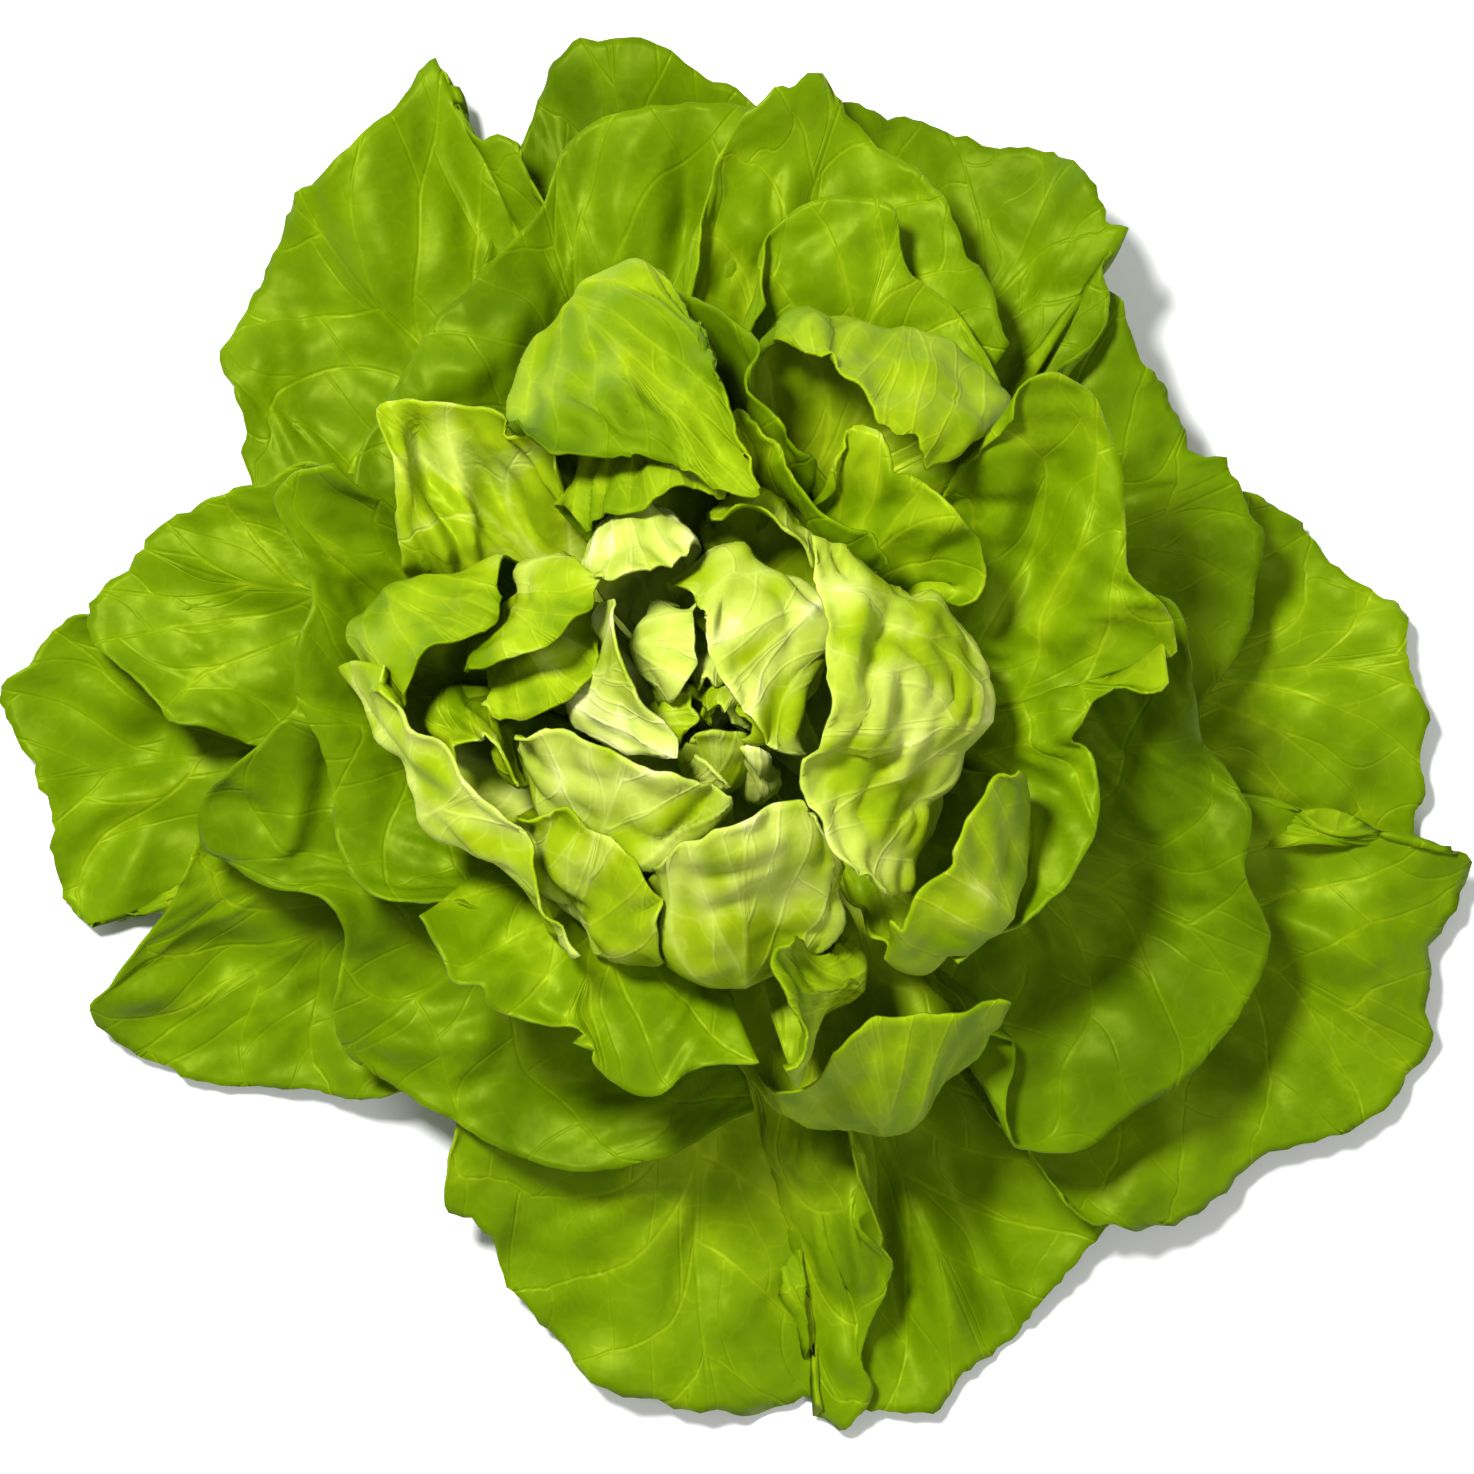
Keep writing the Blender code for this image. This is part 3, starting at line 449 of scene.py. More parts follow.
        "heart_strip", 236, 13, 78, 0.48,
        ((-2, -8), (0, -10), (2, -12), (4, -14)),
        (85, 87, 87, 85),
        ((-3, -9), (-1, -11), (1, -13), (3, -14)),
        (83, 83, 83, 83),
    ),
    Leaf(
        "heart_right", 30, 34, 72, 0.60,
        ((-4, 22), (-3, 21), (-1, 20), (-1, 16), (0, 11), (2, 8), (4, 4), (6, 1), (9, -4), (12, -8),
         (16, -10)),
        (86, 90, 92, 92, 90, 88, 84),
        ((-6, 23), (-1, 26), (3, 29), (5, 29), (7, 26), (14, 23), (20, 16), (21, 12), (19, 6),
         (18, 2), (16, -2), (17, -8), (18, -10)),
        (82, 81, 79, 77, 76, 76),
    ),
    Leaf(
        "heart_top", 114, 26, 77, 0.60,
        ((-6, 2), (-4, 7), (-3, 13), (-4, 18), (-5, 22)),
        (82, 86, 87, 86, 83),
        ((-7, 2), (-8, 7), (-9, 13), (-8, 18), (-8, 21), (-6, 22)),
        (80, 80, 80, 80, 80),
    ),
    Leaf(
        "heart_bottom", 306, 20, 72, 0.52,
        ((4, -8), (6, -7), (9, -7), (11, -8)),
        (78, 80, 80, 77),
        ((5, -11), (7, -12), (10, -13), (13, -12)),
        (72, 72, 72, 70),
    ),
    Leaf(
        "heart_tip", 60, 30, 86, 0.42,
        ((-3, 0), (-3, -2), (-1, -4), (1, -4), (2, -2)),
        (77, 77, 77, 77, 77),
        ((-2, 2), (-2, 1), (-1, 0), (1, -1), (3, 0)),
        (80, 81, 81, 79),
    ),
)

# The tiny leaves of the unopened bud, round the tip of the stem. They share a node with the tip leaf.
BUD_NODE = "heart_tip"
BUD_SEAT = 50.0
BUD_STEP = 1.8
BUD_SEED = 7000
BUDS = (
    Leaf(
        "bud_right", 15, 42, 82, 0.44,
        ((4, 9), (6, 5), (5, 1), (7, -3), (5, -6)),
        (79, 83, 82, 83, 79),
        ((9, 10), (10, 5), (10, 0), (10, -4), (8, -8)),
        (73, 74, 74, 73),
    ),
    Leaf(
        "bud_top", 95, 42, 82, 0.46,
        ((4, 7), (1, 5), (-1, 7), (-3, 4)),
        (79, 82, 83, 80),
        ((6, 10), (2, 10), (-2, 10), (-5, 7)),
        (73, 74, 74, 73),
    ),
    Leaf(
        "bud_left", 190, 42, 83, 0.48,
        ((-3, 4), (-4, 1), (-2, -1), (-4, -4)),
        (79, 82, 82, 79),
        ((-6, 5), (-8, 1), (-7, -3), (-6, -6)),
        (72, 73, 73, 72),
    ),
    Leaf(
        "bud_bottom", 285, 42, 83, 0.42,
        ((-3, -4), (0, -2), (3, -3), (6, -3)),
        (79, 82, 81, 79),
        ((-5, -8), (-1, -8), (3, -9), (7, -7)),
        (71, 72, 72, 71),
    ),
    Leaf(
        "bud_core", 50, 60, 86, 0.46,
        ((5, -3), (4, 1), (1, 2), (-1, 0)),
        (82, 86, 86, 83),
        ((8, -4), (8, 3), (2, 6), (-4, 3)),
        (75, 76, 76, 75),
    ),
)

Crease = namedtuple("Crease", "x y angle length width rise")

# Each leaf's folds, dents and blisters, seen from above: place and size in mm, angle in degrees from +X,
# and how far the middle stands up towards the viewer, or down where it is negative.
CREASES = {
    "upper_left_wrinkled": (
        (-54, 43, -72, 10, 2.2, -4.2), (-44, 44, -60, 9, 2.0, -3.6), (-58, 53, -85, 7, 1.8, -3.2),
        (-49, 42, -82, 15, 1.8, 3.0), (-61, 48, -85, 13, 1.6, 2.6), (-52, 30, -80, 8, 1.8, 2.4),
        (-38, 42, -70, 9, 1.8, -3.6), (-40, 50, -75, 7, 1.6, 2.4),
    ),
    "outer_bottom_right": (
        (36, -112, -80, 18, 4.0, -6.0), (45, -113, -75, 18, 4.0, 4.0), (55, -112, -68, 15, 4.0, -5.5),
    ),
    "outer_bottom": (
        (30, -108, -78, 18, 3.0, 3.5), (0, -96, -100, 20, 5.0, -3.5), (-28, -108, -125, 14, 6.0, 2.5),
    ),
    "top": (
        (-6, 98, 81, 13, 3.8, -8.0), (-17, 100, 75, 13, 4.5, 3.0), (-42, 72, 40, 12, 4.0, 2.5),
    ),
    "outer_top_left": (
        (-50, 104, 115, 16, 5.0, -5.0), (-66, 92, 120, 18, 7.0, 3.5), (-78, 58, 150, 12, 5.0, -3.0),
    ),
    "outer_bottom_left": (
        (-98, -50, 5, 9, 6.0, -5.5), (-112, -56, 20, 9, 3.0, 2.5), (-84, -62, -25, 9, 5.0, 2.5),
    ),
    "outer_left": (
        (-116, -17, 15, 10, 3.0, 3.0), (-112, -5, 60, 7, 5.0, -3.5), (-116, -30, 70, 9, 3.0, 2.5),
    ),
    "outer_left_upper": (
        (-96, 20, 160, 14, 5.0, -3.5), (-104, 31, 155, 10, 4.0, 2.5),
    ),
    "right_wave": (
        (63, 33, 79, 18, 5.0, -6.5), (75, 38, 75, 14, 4.0, 2.5), (78, 19, 20, 8, 4.0, 2.5),
        (70, -12, 60, 10, 4.0, -3.0),
    ),
    "right_cup": (
        (84, -38, 60, 22, 12.0, -6.0), (92, 0, 75, 14, 6.0, 3.0),
    ),
    "outer_right": (
        (118, 8, 15, 16, 4.0, -3.0), (112, -16, -5, 12, 4.0, 3.0),
    ),
    "outer_right_lower": (
        (120, -44, -25, 16, 4.0, 3.5), (102, -66, -45, 16, 5.0, -3.5),
    ),
    "outer_top_right": (
        (62, 84, 55, 16, 6.0, -4.0),
    ),
    "top_crinkled": (
        (27, 90, 10, 7, 1.8, 3.0), (32, 88, 65, 7, 1.8, 3.0), (22, 86, -50, 6, 1.8, 3.0),
        (20, 96, 80, 8, 3.0, -4.0), (36, 80, 80, 8, 3.0, -3.5),
    ),
    "lower_left": (
        (-26, -73, 15, 10, 6.0, -6.0), (-46, -66, 50, 10, 4.0, 3.0), (-84, -24, 60, 8, 3.0, 3.0),
        (-76, -14, 75, 9, 4.0, -4.0), (-64, -52, -40, 10, 4.0, -3.0),
    ),
    "top_cap": (
        (-16, 64, 92, 12, 1.8, 2.8), (-26, 58, 140, 10, 1.8, 2.2), (-6, 60, 50, 9, 1.8, 2.2),
        (-24, 68, 80, 8, 2.4, -2.6), (-9, 68, 95, 7, 2.4, -2.4), (-30, 52, 20, 6, 2.4, -2.0),
        (0, 52, 120, 7, 2.2, -2.2),
    ),
    "right_heart": (
        (33, -9, 0, 5.0, 5.0, 3.2), (33, -9, 0, 2.2, 2.2, -4.2), (27, 12, 80, 12, 2.0, 2.8),
        (33, 14, 70, 9, 1.8, -2.6), (38, 6, 80, 10, 2.2, -3.0), (41, 16, 70, 9, 2.2, 2.4),
        (26, -2, 40, 6, 1.6, -2.2), (31, -22, 60, 7, 2.6, 2.6), (39, -18, 75, 7, 2.0, -2.6),
    ),
    "left_hood": (
        (-57, -8, -50, 8, 2.0, 1.6), (-47, -24, -48, 9, 2.0, 1.6),
    ),
    "bottom_wave": (
        (-40, -52, -20, 7, 3.0, 2.2), (-27, -66, -50, 6, 4.0, 2.6), (-32, -58, -40, 6, 2.4, -2.6),
    ),
}

def hermite(knots, values, at):
    """Smooth values through those at the knots."""
    slopes = np.gradient(values, knots, axis=0)
    return hermite_with(knots, values, slopes, at)


def hermite_with(knots, values, slopes, at):
    k = np.clip(np.searchsorted(knots, at, side="right") - 1, 0, len(knots) - 2)
    width = knots[k + 1] - knots[k]
    u = (at - knots[k]) / width
    if values.ndim > 1:
        u, width = u[:, None], width[:, None]
    start = (1 + 2 * u) * (1 - u) ** 2 * values[k] + u * (1 - u) ** 2 * width * slopes[k]
    end = u ** 2 * (3 - 2 * u) * values[k + 1] - u ** 2 * (1 - u) * width * slopes[k + 1]
    return start + end


def smooth_line(outline, heights, places):
    """Points on the smooth line through an outline, at places from 0 to 1 along its length."""
    flat = np.array(outline, float)
    steps = np.linalg.norm(np.diff(flat, axis=0), axis=1)
    knots = np.concatenate([[0.0], np.cumsum(np.sqrt(steps))])
    fine = hermite(knots, flat, np.linspace(0, knots[-1], 400))
    length = np.concatenate([[0.0], np.cumsum(np.linalg.norm(np.diff(fine, axis=0), axis=1))])
    at = places * length[-1]
    levels = hermite(np.linspace(0, 1, len(heights)), np.array(heights, float), places)
    return np.column_stack([np.interp(at, length, fine[:, 0]), np.interp(at, length, fine[:, 1]), levels])


def turned(leaf):
    """The leaf with its lines running the same way round as its foot."""
    turn = math.radians(leaf.azimuth)
    chord = np.array(leaf.rim[-1]) - leaf.rim[0]
    if chord @ (-math.sin(turn), math.cos(turn)) > 0:
        return leaf
    return leaf._replace(
        rim=leaf.rim[::-1],
        rim_heights=leaf.rim_heights[::-1],
        mid=leaf.mid[::-1],
        mid_heights=leaf.mid_heights[::-1],
    )


def stem_radius(height):
    return np.interp(height, [z for z, _ in STEM_RADII], [r for _, r in STEM_RADII])


def seat_heights(leaves):
    """Heights of the leaf bases up the stem, each clear of the ones below it."""
    seats = []
    for leaf in leaves:
        seat = LOWEST_SEAT
        for other, below in zip(leaves, seats):
            turn = abs((leaf.azimuth - other.azimuth + 180) % 360 - 180)
            if turn < leaf.half_width + other.half_width + 4:
                seat = max(seat, below + SEAT_STEP)
        seats.append(seat)
    return seats


def base_thickness(leaf):
    """Outer leaves have stout feet, and the steep inner ones thin feet."""
    return BASE_THICKNESS if leaf.launch < STEEP_LAUNCH else INNER_BASE_THICKNESS


def foot_radius(leaf, seat):
    """Distance of the leaf's foot from the axis, just off the stem."""
    return stem_radius(seat) + GAP + base_thickness(leaf) / 2 * math.sin(math.radians(leaf.launch))


def base_line(leaf, seat, places):
    """The leaf's foot round the stem, and the directions in which its fan lines set out."""
    angles = np.radians(leaf.azimuth + leaf.half_width * (2 * places - 1))
    rise = math.radians(leaf.launch)
    radius = foot_radius(leaf, seat)
    ring = np.column_stack([np.cos(angles), np.sin(angles), np.zeros(len(angles))])
    foot = ring * radius
    foot[:, 2] = seat
    away = ring * math.cos(rise)
    away[:, 2] = math.sin(rise)
    return foot, away


def tucked(mid, rim, places):
    """The bulge line drawn outwards and down, in under the rims of the leaves round it."""
    away = (mid - rim)[:, :2]
    reach = np.maximum(np.linalg.norm(away, axis=1), 1.0)
    share = np.sqrt(np.sin(math.pi * np.clip(places, 0, 1)).clip(0))
    amount = np.minimum(TUCK, TUCK_SHARE * reach) * share
    return mid + amount[:, None] * np.column_stack([away / reach[:, None], np.full(len(places), -0.5)])


def rim_wave(leaf, places):
    """How far the rim waves off its line, gently on the short rims of the inner leaves."""
    length = np.linalg.norm(np.diff(np.array(leaf.rim, float), axis=0), axis=1).sum()
    swing = RIM_WAVE * min(1.0, length / FULL_WAVE_RIM)
    return swing * np.sin(2 * math.pi * (length / RIM_WAVELENGTH * places + leaf.azimuth / 47))


def fan(leaf, seat, runs, places):
    """The leaf's middle surface: rows from base to rim at runs, columns round the rim at places."""
    foot, away = base_line(leaf, seat, places)
    rim = smooth_line(leaf.rim, leaf.rim_heights, places)
    stations = [foot, rim]
    if leaf.mid:
        mid = smooth_line(leaf.mid, leaf.mid_heights, places)
        if leaf.launch >= TUCK_LAUNCH:
            mid = tucked(mid, rim, places)
        stations = [foot, mid, rim]
    surface = np.empty((len(runs), len(places), 3))
    for column in range(len(places)):
        line = np.array([station[column] for station in stations])
        steps = np.linalg.norm(np.diff(line, axis=0), axis=1)
        knots = np.concatenate([[0.0], np.cumsum(steps)])
        slopes = np.empty_like(line)
        slopes[0] = away[column]
        if len(line) == 3:
            slopes[1] = np.gradient(line, knots, axis=0)[1]
        slopes[-1] = 1.5 * (line[-1] - line[-2]) / steps[-1] - 0.5 * slopes[-2]
        surface[:, column] = hermite_with(knots, line, slopes, runs * knots[-1])
    wave = rim_wave(leaf, places)
    surface += normals(surface) * (runs[:, None] ** 3 * wave[None, :])[..., None]
    return surface


def normals(surface):
    """Unit normals of a grid of points, towards the inner side of the leaf."""
    across = np.gradient(surface, axis=1)
    along = np.gradient(surface, axis=0)
    out = np.cross(along, across)
    return out / np.maximum(np.linalg.norm(out, axis=2, keepdims=True), 1e-9)


def softened(field):
    """The field averaged with its neighbours on the grid."""
    padded = np.pad(field, ((1, 1), (1, 1), (0, 0)), mode="edge")
    beside = padded[:-2, 1:-1] + padded[2:, 1:-1] + padded[1:-1, :-2] + padded[1:-1, 2:]
    return 0.4 * field + 0.15 * beside


def cover(sheet):
    """How far sideways each point of a sheet stands for the sheet round it."""
    along = np.linalg.norm(np.gradient(sheet, axis=0), axis=2)
    across = np.linalg.norm(np.gradient(sheet, axis=1), axis=2)
    share = np.full(sheet.shape[:2], 0.3)
    share[1:-1, 1:-1] = 0.55
    return (share * np.hypot(along, across)).ravel()


def press(points, others, outward, covers, nearest, side, room):
    """Moves that bring the points to their proper side of another sheet."""
    offset = points - others[nearest]
    normal = side * outward[nearest]
    height = (offset * normal).sum(axis=1)
    sideways = np.sqrt(np.maximum((offset ** 2).sum(axis=1) - height ** 2, 0))
    wanted = SHEET_SPACING * np.minimum(room, room[nearest])
    deepest = SHEET_REACH * np.minimum(room, room[nearest])
    touching = (sideways < covers[nearest]) & (height > -deepest) & (height < wanted)
    return normal * np.where(touching, wanted - height, 0)[:, None]


def settle(sheets):
    """Moves the sheets apart until each lies on the inner side of those before it."""
    first = [sheet.copy() for sheet in sheets]
    hold = np.clip(np.linspace(0, 1, SHEET_ROWS) / 0.4, 0, 1)
    room = np.repeat(hold, SHEET_COLUMNS)
    for _ in range(SETTLE_ROUNDS):
        flat = [sheet.reshape(-1, 3) for sheet in sheets]
        facing = [normals(sheet).reshape(-1, 3) for sheet in sheets]
        covers = [cover(sheet) for sheet in sheets]
        squares = [(points ** 2).sum(axis=1) for points in flat]
        lows = [points.min(axis=0) for points in flat]
        highs = [points.max(axis=0) for points in flat]
        moves = [np.zeros_like(points) for points in flat]
        for a in range(1, len(sheets)):
            for b in range(a):
                if (lows[a] > highs[b] + 2).any() or (lows[b] > highs[a] + 2).any():
                    continue
                apart = squares[a][:, None] + squares[b][None, :] - 2 * flat[a] @ flat[b].T
                to_b, to_a = apart.argmin(axis=1), apart.argmin(axis=0)
                moves[a] += press(flat[a], flat[b], facing[b], covers[b], to_b, 1, room)
                moves[b] += press(flat[b], flat[a], facing[a], covers[a], to_a, -1, room)
        for k, sheet in enumerate(sheets):
            move = softened(softened(moves[k].reshape(sheet.shape)))
            size = np.linalg.norm(move, axis=2, keepdims=True)
            move *= np.minimum(1, 2.0 / np.maximum(size, 1e-9))
            shift = sheet + 0.4 * hold[:, None, None] * move - first[k]
            size = np.linalg.norm(shift, axis=2, keepdims=True)
            sheets[k] = first[k] + shift * np.minimum(1, MOST_SHIFT / np.maximum(size, 1e-9))
            sheets[k][2:, :, 2] = np.maximum(sheets[k][2:, :, 2], GROUND_CLEARANCE)
    return sheets


def resampled(field, runs, places):
    """A grid of vectors read smoothly at other runs and places."""
    rows = np.linspace(0, 1, field.shape[0])
    columns = np.linspace(0, 1, field.shape[1])
    tall = hermite(rows, field.reshape(len(rows), -1), runs).reshape(len(runs), len(columns), 3)
    wide = tall.transpose(1, 0, 2).reshape(len(columns), -1)
    return hermite(columns, wide, places).reshape(len(places), len(runs), 3).transpose(1, 0, 2)


def settled_leaves():
    """Each leaf with its seat and how far settling moves its sheet."""
    leaves = [turned(leaf) for leaf in LEAVES]
    seats = seat_heights(leaves)
    runs, places = np.linspace(0, 1, SHEET_ROWS), np.linspace(0, 1, SHEET_COLUMNS)
    first = [fan(leaf, seat, runs, places) for leaf, seat in zip(leaves, seats)]
    last = settle([sheet.copy() for sheet in first])
    return [(leaf, seat, after - before) for leaf, seat, before, after in zip(leaves, seats, first, last)]


def ripple(points, wavelength, seed):
    """Smooth random waves through space, about -1 to 1."""
    rng = np.random.default_rng(seed)
    total = np.zeros(points.shape[:-1])
    for _ in range(9):
        way = rng.normal(size=3)
        way *= 2 * math.pi / (wavelength * rng.uniform(0.7, 1.5)) / np.linalg.norm(way)
        total += np.sin(points @ way + rng.uniform(0, 2 * math.pi))
    return total / 3.2


def path_lengths(points, axis):
    """Distance along each line of the grid from its first point."""
    steps = np.linalg.norm(np.diff(points, axis=axis), axis=2)
    start = np.zeros_like(np.take(steps, [0], axis=axis))
    return np.concatenate([start, np.cumsum(steps, axis=axis)], axis=axis)


def steepness(field, points):
    """How fast a field over the grid changes, per mm of leaf."""
    along, across = np.gradient(points, axis=0), np.gradient(points, axis=1)
    up, sideways = np.gradient(field, axis=0), np.gradient(field, axis=1)
    e, f, g = (along ** 2).sum(2), (along * across).sum(2), (across ** 2).sum(2)
    area = np.maximum(e * g - f ** 2, 1e-6)
    return np.sqrt(np.maximum(g * up ** 2 - 2 * f * up * sideways + e * sideways ** 2, 1e-12) / area)


def fraction(values):
    return values - np.floor(values)


def vein_fields(points, runs, places, seed):
    """Counting fields, whole on each side vein and on each rung between them, and the midrib's distance."""
    side = 2 * places[None, :] - 1
    out = np.abs(side) ** 0.8
    length = path_lengths(points, 0)[-1].mean()
    breadth = path_lengths(points, 1)
    middle = breadth[:, len(places) // 2][:, None]
    wander = ripple(points, 34, seed)
    count = max(4.0, length / VEIN_SPACING)
    veins = count * (runs[:, None] - VEIN_SLANT * out) + 0.25 * (1 + np.tanh(side / 0.05)) + 0.16 * wander
    half = breadth[len(runs) * 2 // 3].max() / 2
    rungs = half / CROSS_SPACING * out + 0.3 * ripple(points, 26, seed + 1) + 0.37 * (side > 0)
    return veins, rungs, np.abs(breadth - middle)


def vein_distances(veins, rungs, points):
    """Distances in mm to the nearest side vein and to the nearest rung."""
    to_vein = np.abs(veins - np.round(veins)) / steepness(veins, points)
    shifted = rungs + fraction(np.floor(veins) * GOLDEN_STEP)
    to_rung = np.abs(shifted - np.round(shifted)) / steepness(rungs, points)
    return to_vein, to_rung


def quilt(to_vein, to_rung, to_midrib, points, seed):
    """Tissue swelling between the veins."""
    held = np.exp(-((to_vein / QUILT_WIDTH) ** 2)) + 0.5 * np.exp(-((to_rung / QUILT_WIDTH) ** 2))
    held += np.exp(-((to_midrib / QUILT_WIDTH) ** 2))
    amount = 0.75 + 0.5 * ripple(points, 45, seed)
    return QUILT * np.clip(amount, 0.15, 1.4) * (0.5 - np.clip(held, 0, 1))


def wrinkles(points, heart, hooded, seed):
    """Wrinkles from base to rim, or along the rim of a hooded leaf, and blisters with sharp creases."""
    across, along = path_lengths(points, 1), path_lengths(points, 0)
    if hooded:
        across, along = along, across
    across = across + FOLD_WANDER * ripple(points, 26, seed + 2)
    flat = np.zeros_like(along)
    folds = ripple(np.stack([across, 0.28 * along, flat], axis=2), WRINKLE_SPACING * (1 + 0.5 * heart), seed)
    blisters = np.abs(ripple(np.stack([across, 0.6 * along, flat], axis=2), BLISTER_SPACING, seed + 1)) - 0.4
    return (WRINKLE + (HEART_WRINKLE - WRINKLE) * heart) * (0.6 * folds - 1.3 * blisters)


def creased(name, points, facing):
    """The leaf with its own folds and dents, each a soft mound or hollow."""
    towards = facing * np.sign(facing[..., 2:])
    rise = np.zeros(points.shape[:2])
    for crease in map(Crease._make, CREASES.get(name, ())):
        turn = math.radians(crease.angle)
        x, y = points[..., 0] - crease.x, points[..., 1] - crease.y
        along = (x * math.cos(turn) + y * math.sin(turn)) / crease.length
        across = (y * math.cos(turn) - x * math.sin(turn)) / crease.width
        rise += crease.rise * np.exp(-(along ** 2) - across ** 2)
    return points + towards * rise[..., None]


def frilled(points, runs, inner, seed):
    """The rim's small uneven teeth and scallops, in the plane of the blade."""
    along = np.gradient(points, axis=0)
    along /= np.maximum(np.linalg.norm(along, axis=2, keepdims=True), 1e-9)
    rim = points[-1:]
    teeth = ripple(rim, 10, seed) + 0.8 * ripple(rim, 4.5, seed + 1)
    reach = INNER_FRILL if inner else FRILL
    return points + along * (reach * teeth * runs[:, None] ** 6)[..., None]


def ribs(runs, to_midrib, to_vein):
    """Extra thickness on the outer side of the blade, from the midrib and the side veins."""
    down = (1 - runs)[:, None]
    width = 0.8 + MIDRIB_WIDTH / 2 * down ** 1.3
    rib = MIDRIB_HEIGHT * down ** 1.2 * np.exp(-((to_midrib / width) ** 2))
    vein = 0.35 * (0.3 + down) * np.exp(-((to_vein / 1.1) ** 2))
    return rib + vein


def set_vectors(mesh, name, shape, *fields):
    """Three numbers at each point, from fields over the grid for both sides of the blade, or one for each."""
    values = np.stack([np.broadcast_to(field, (2, *shape)) for field in fields], axis=-1)
    attribute = mesh.attributes.new(name, "FLOAT_VECTOR", "POINT")
    attribute.data.foreach_set("vector", values.astype(np.float32).ravel())


def sheet_faces(rows, columns):
    """Quads of a closed thin sheet: inner side, outer side and the edge all round."""
    r, c = np.meshgrid(np.arange(rows - 1), np.arange(columns - 1), indexing="ij")
    a = (r * columns + c).ravel()
    upper = np.column_stack([a, a + columns, a + columns + 1, a + 1])
    count = rows * columns
    lower = upper[:, ::-1] + count
    ring = np.concatenate([
        np.arange(columns),
        np.arange(1, rows) * columns + columns - 1,
        (rows - 1) * columns + np.arange(columns - 2, -1, -1),
        np.arange(rows - 2, 0, -1) * columns,
    ])
    following = np.roll(ring, -1)
    edge = np.column_stack([ring, following, following + count, ring + count])
    return np.concatenate([upper, lower, edge])


def mesh_of(name, points, quads):
    mesh = bpy.data.meshes.new(name)
    mesh.vertices.add(len(points))
    mesh.vertices.foreach_set("co", (points * MM).astype(np.float32).ravel())
    mesh.loops.add(quads.size)
    mesh.loops.foreach_set("vertex_index", quads.astype(np.int32).ravel())
    mesh.polygons.add(len(quads))
    mesh.polygons.foreach_set("loop_start", np.arange(0, quads.size, 4, dtype=np.int32))
    mesh.polygons.foreach_set("use_smooth", np.ones(len(quads), bool))
    mesh.update(calc_edges=True)
    return mesh


def place_piece(name, mesh, material, node):
    mesh.materials.append(material)
    piece = bpy.data.objects.new(name, mesh)
    bpy.context.scene.collection.objects.link(piece)
    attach(piece, "root")
    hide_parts(node)


def fine_grid(leaf, seat, shift):
    """The leaf's fine middle surface and where its lines run, and whether it is a small inner leaf."""
    runs, places = np.linspace(0, 1, 12), np.linspace(0, 1, 25)
    coarse = fan(leaf, seat, runs, places) + resampled(shift, runs, places)
    tall = path_lengths(coarse, 0)[-1].mean()
    wide = path_lengths(coarse, 1)[:, -1].max()
    inner = tall < INNER_LENGTH
    cell = INNER_CELL if inner else CELL
    runs = np.linspace(0, 1, round(tall / cell) + 1)
    places = np.linspace(0, 1, 2 * round(wide / cell / 2) + 1)
    return runs, places, fan(leaf, seat, runs, places) + resampled(shift, runs, places), inner


def relief(leaf, runs, middle, to_veins, heart, seed):
    """How far the blade stands off its middle surface, from none at the foot."""
    rise = quilt(*to_veins, middle, seed + 2)
    swell = SWELL * ripple(middle, SWELL_WAVE, seed + 3) + BUCKLE * ripple(middle, BUCKLE_WAVE, seed + 11)
    rise += swell * runs[:, None]
    rise += DIMPLE * ripple(middle, DIMPLE_WAVE, seed + 4) + GRAIN * ripple(middle, GRAIN_WAVE, seed + 7)
    rise += wrinkles(middle, heart, bool(leaf.mid) and heart > 0.5, seed + 8)
    free = np.clip(runs / 0.35, 0, 1)[:, None] ** 1.5
    return free * rise


def blade_points(surface, runs, to_midrib, to_vein):
    """The blade's inner side and then its outer side, both kept off the floor."""
    facing = normals(surface)
    blade = BLADE + (FOOT_BLADE - BLADE) * (1 - runs[:, None]) ** 2
    upper = surface + facing * (blade / 2)[..., None]
    lower = surface - facing * (blade / 2 + ribs(runs, to_midrib, to_vein))[..., None]
    lower[..., 2] = np.maximum(lower[..., 2], LOWEST)
    upper[..., 2] = np.maximum(upper[..., 2], LOWEST + BLADE)
    return np.concatenate([upper.reshape(-1, 3), lower.reshape(-1, 3)])


def paleness(base, leaf, runs, to_vein, to_rung):
    """Paler towards the foot and beside the veins."""
    halo = np.exp(-((to_vein / HALO_WIDTH) ** 2)) + 0.5 * np.exp(-((to_rung / HALO_WIDTH) ** 2))
    return leaf.pale + base * (1 - runs[:, None]) ** 2 + HALO_PALE * (halo - 1.2)


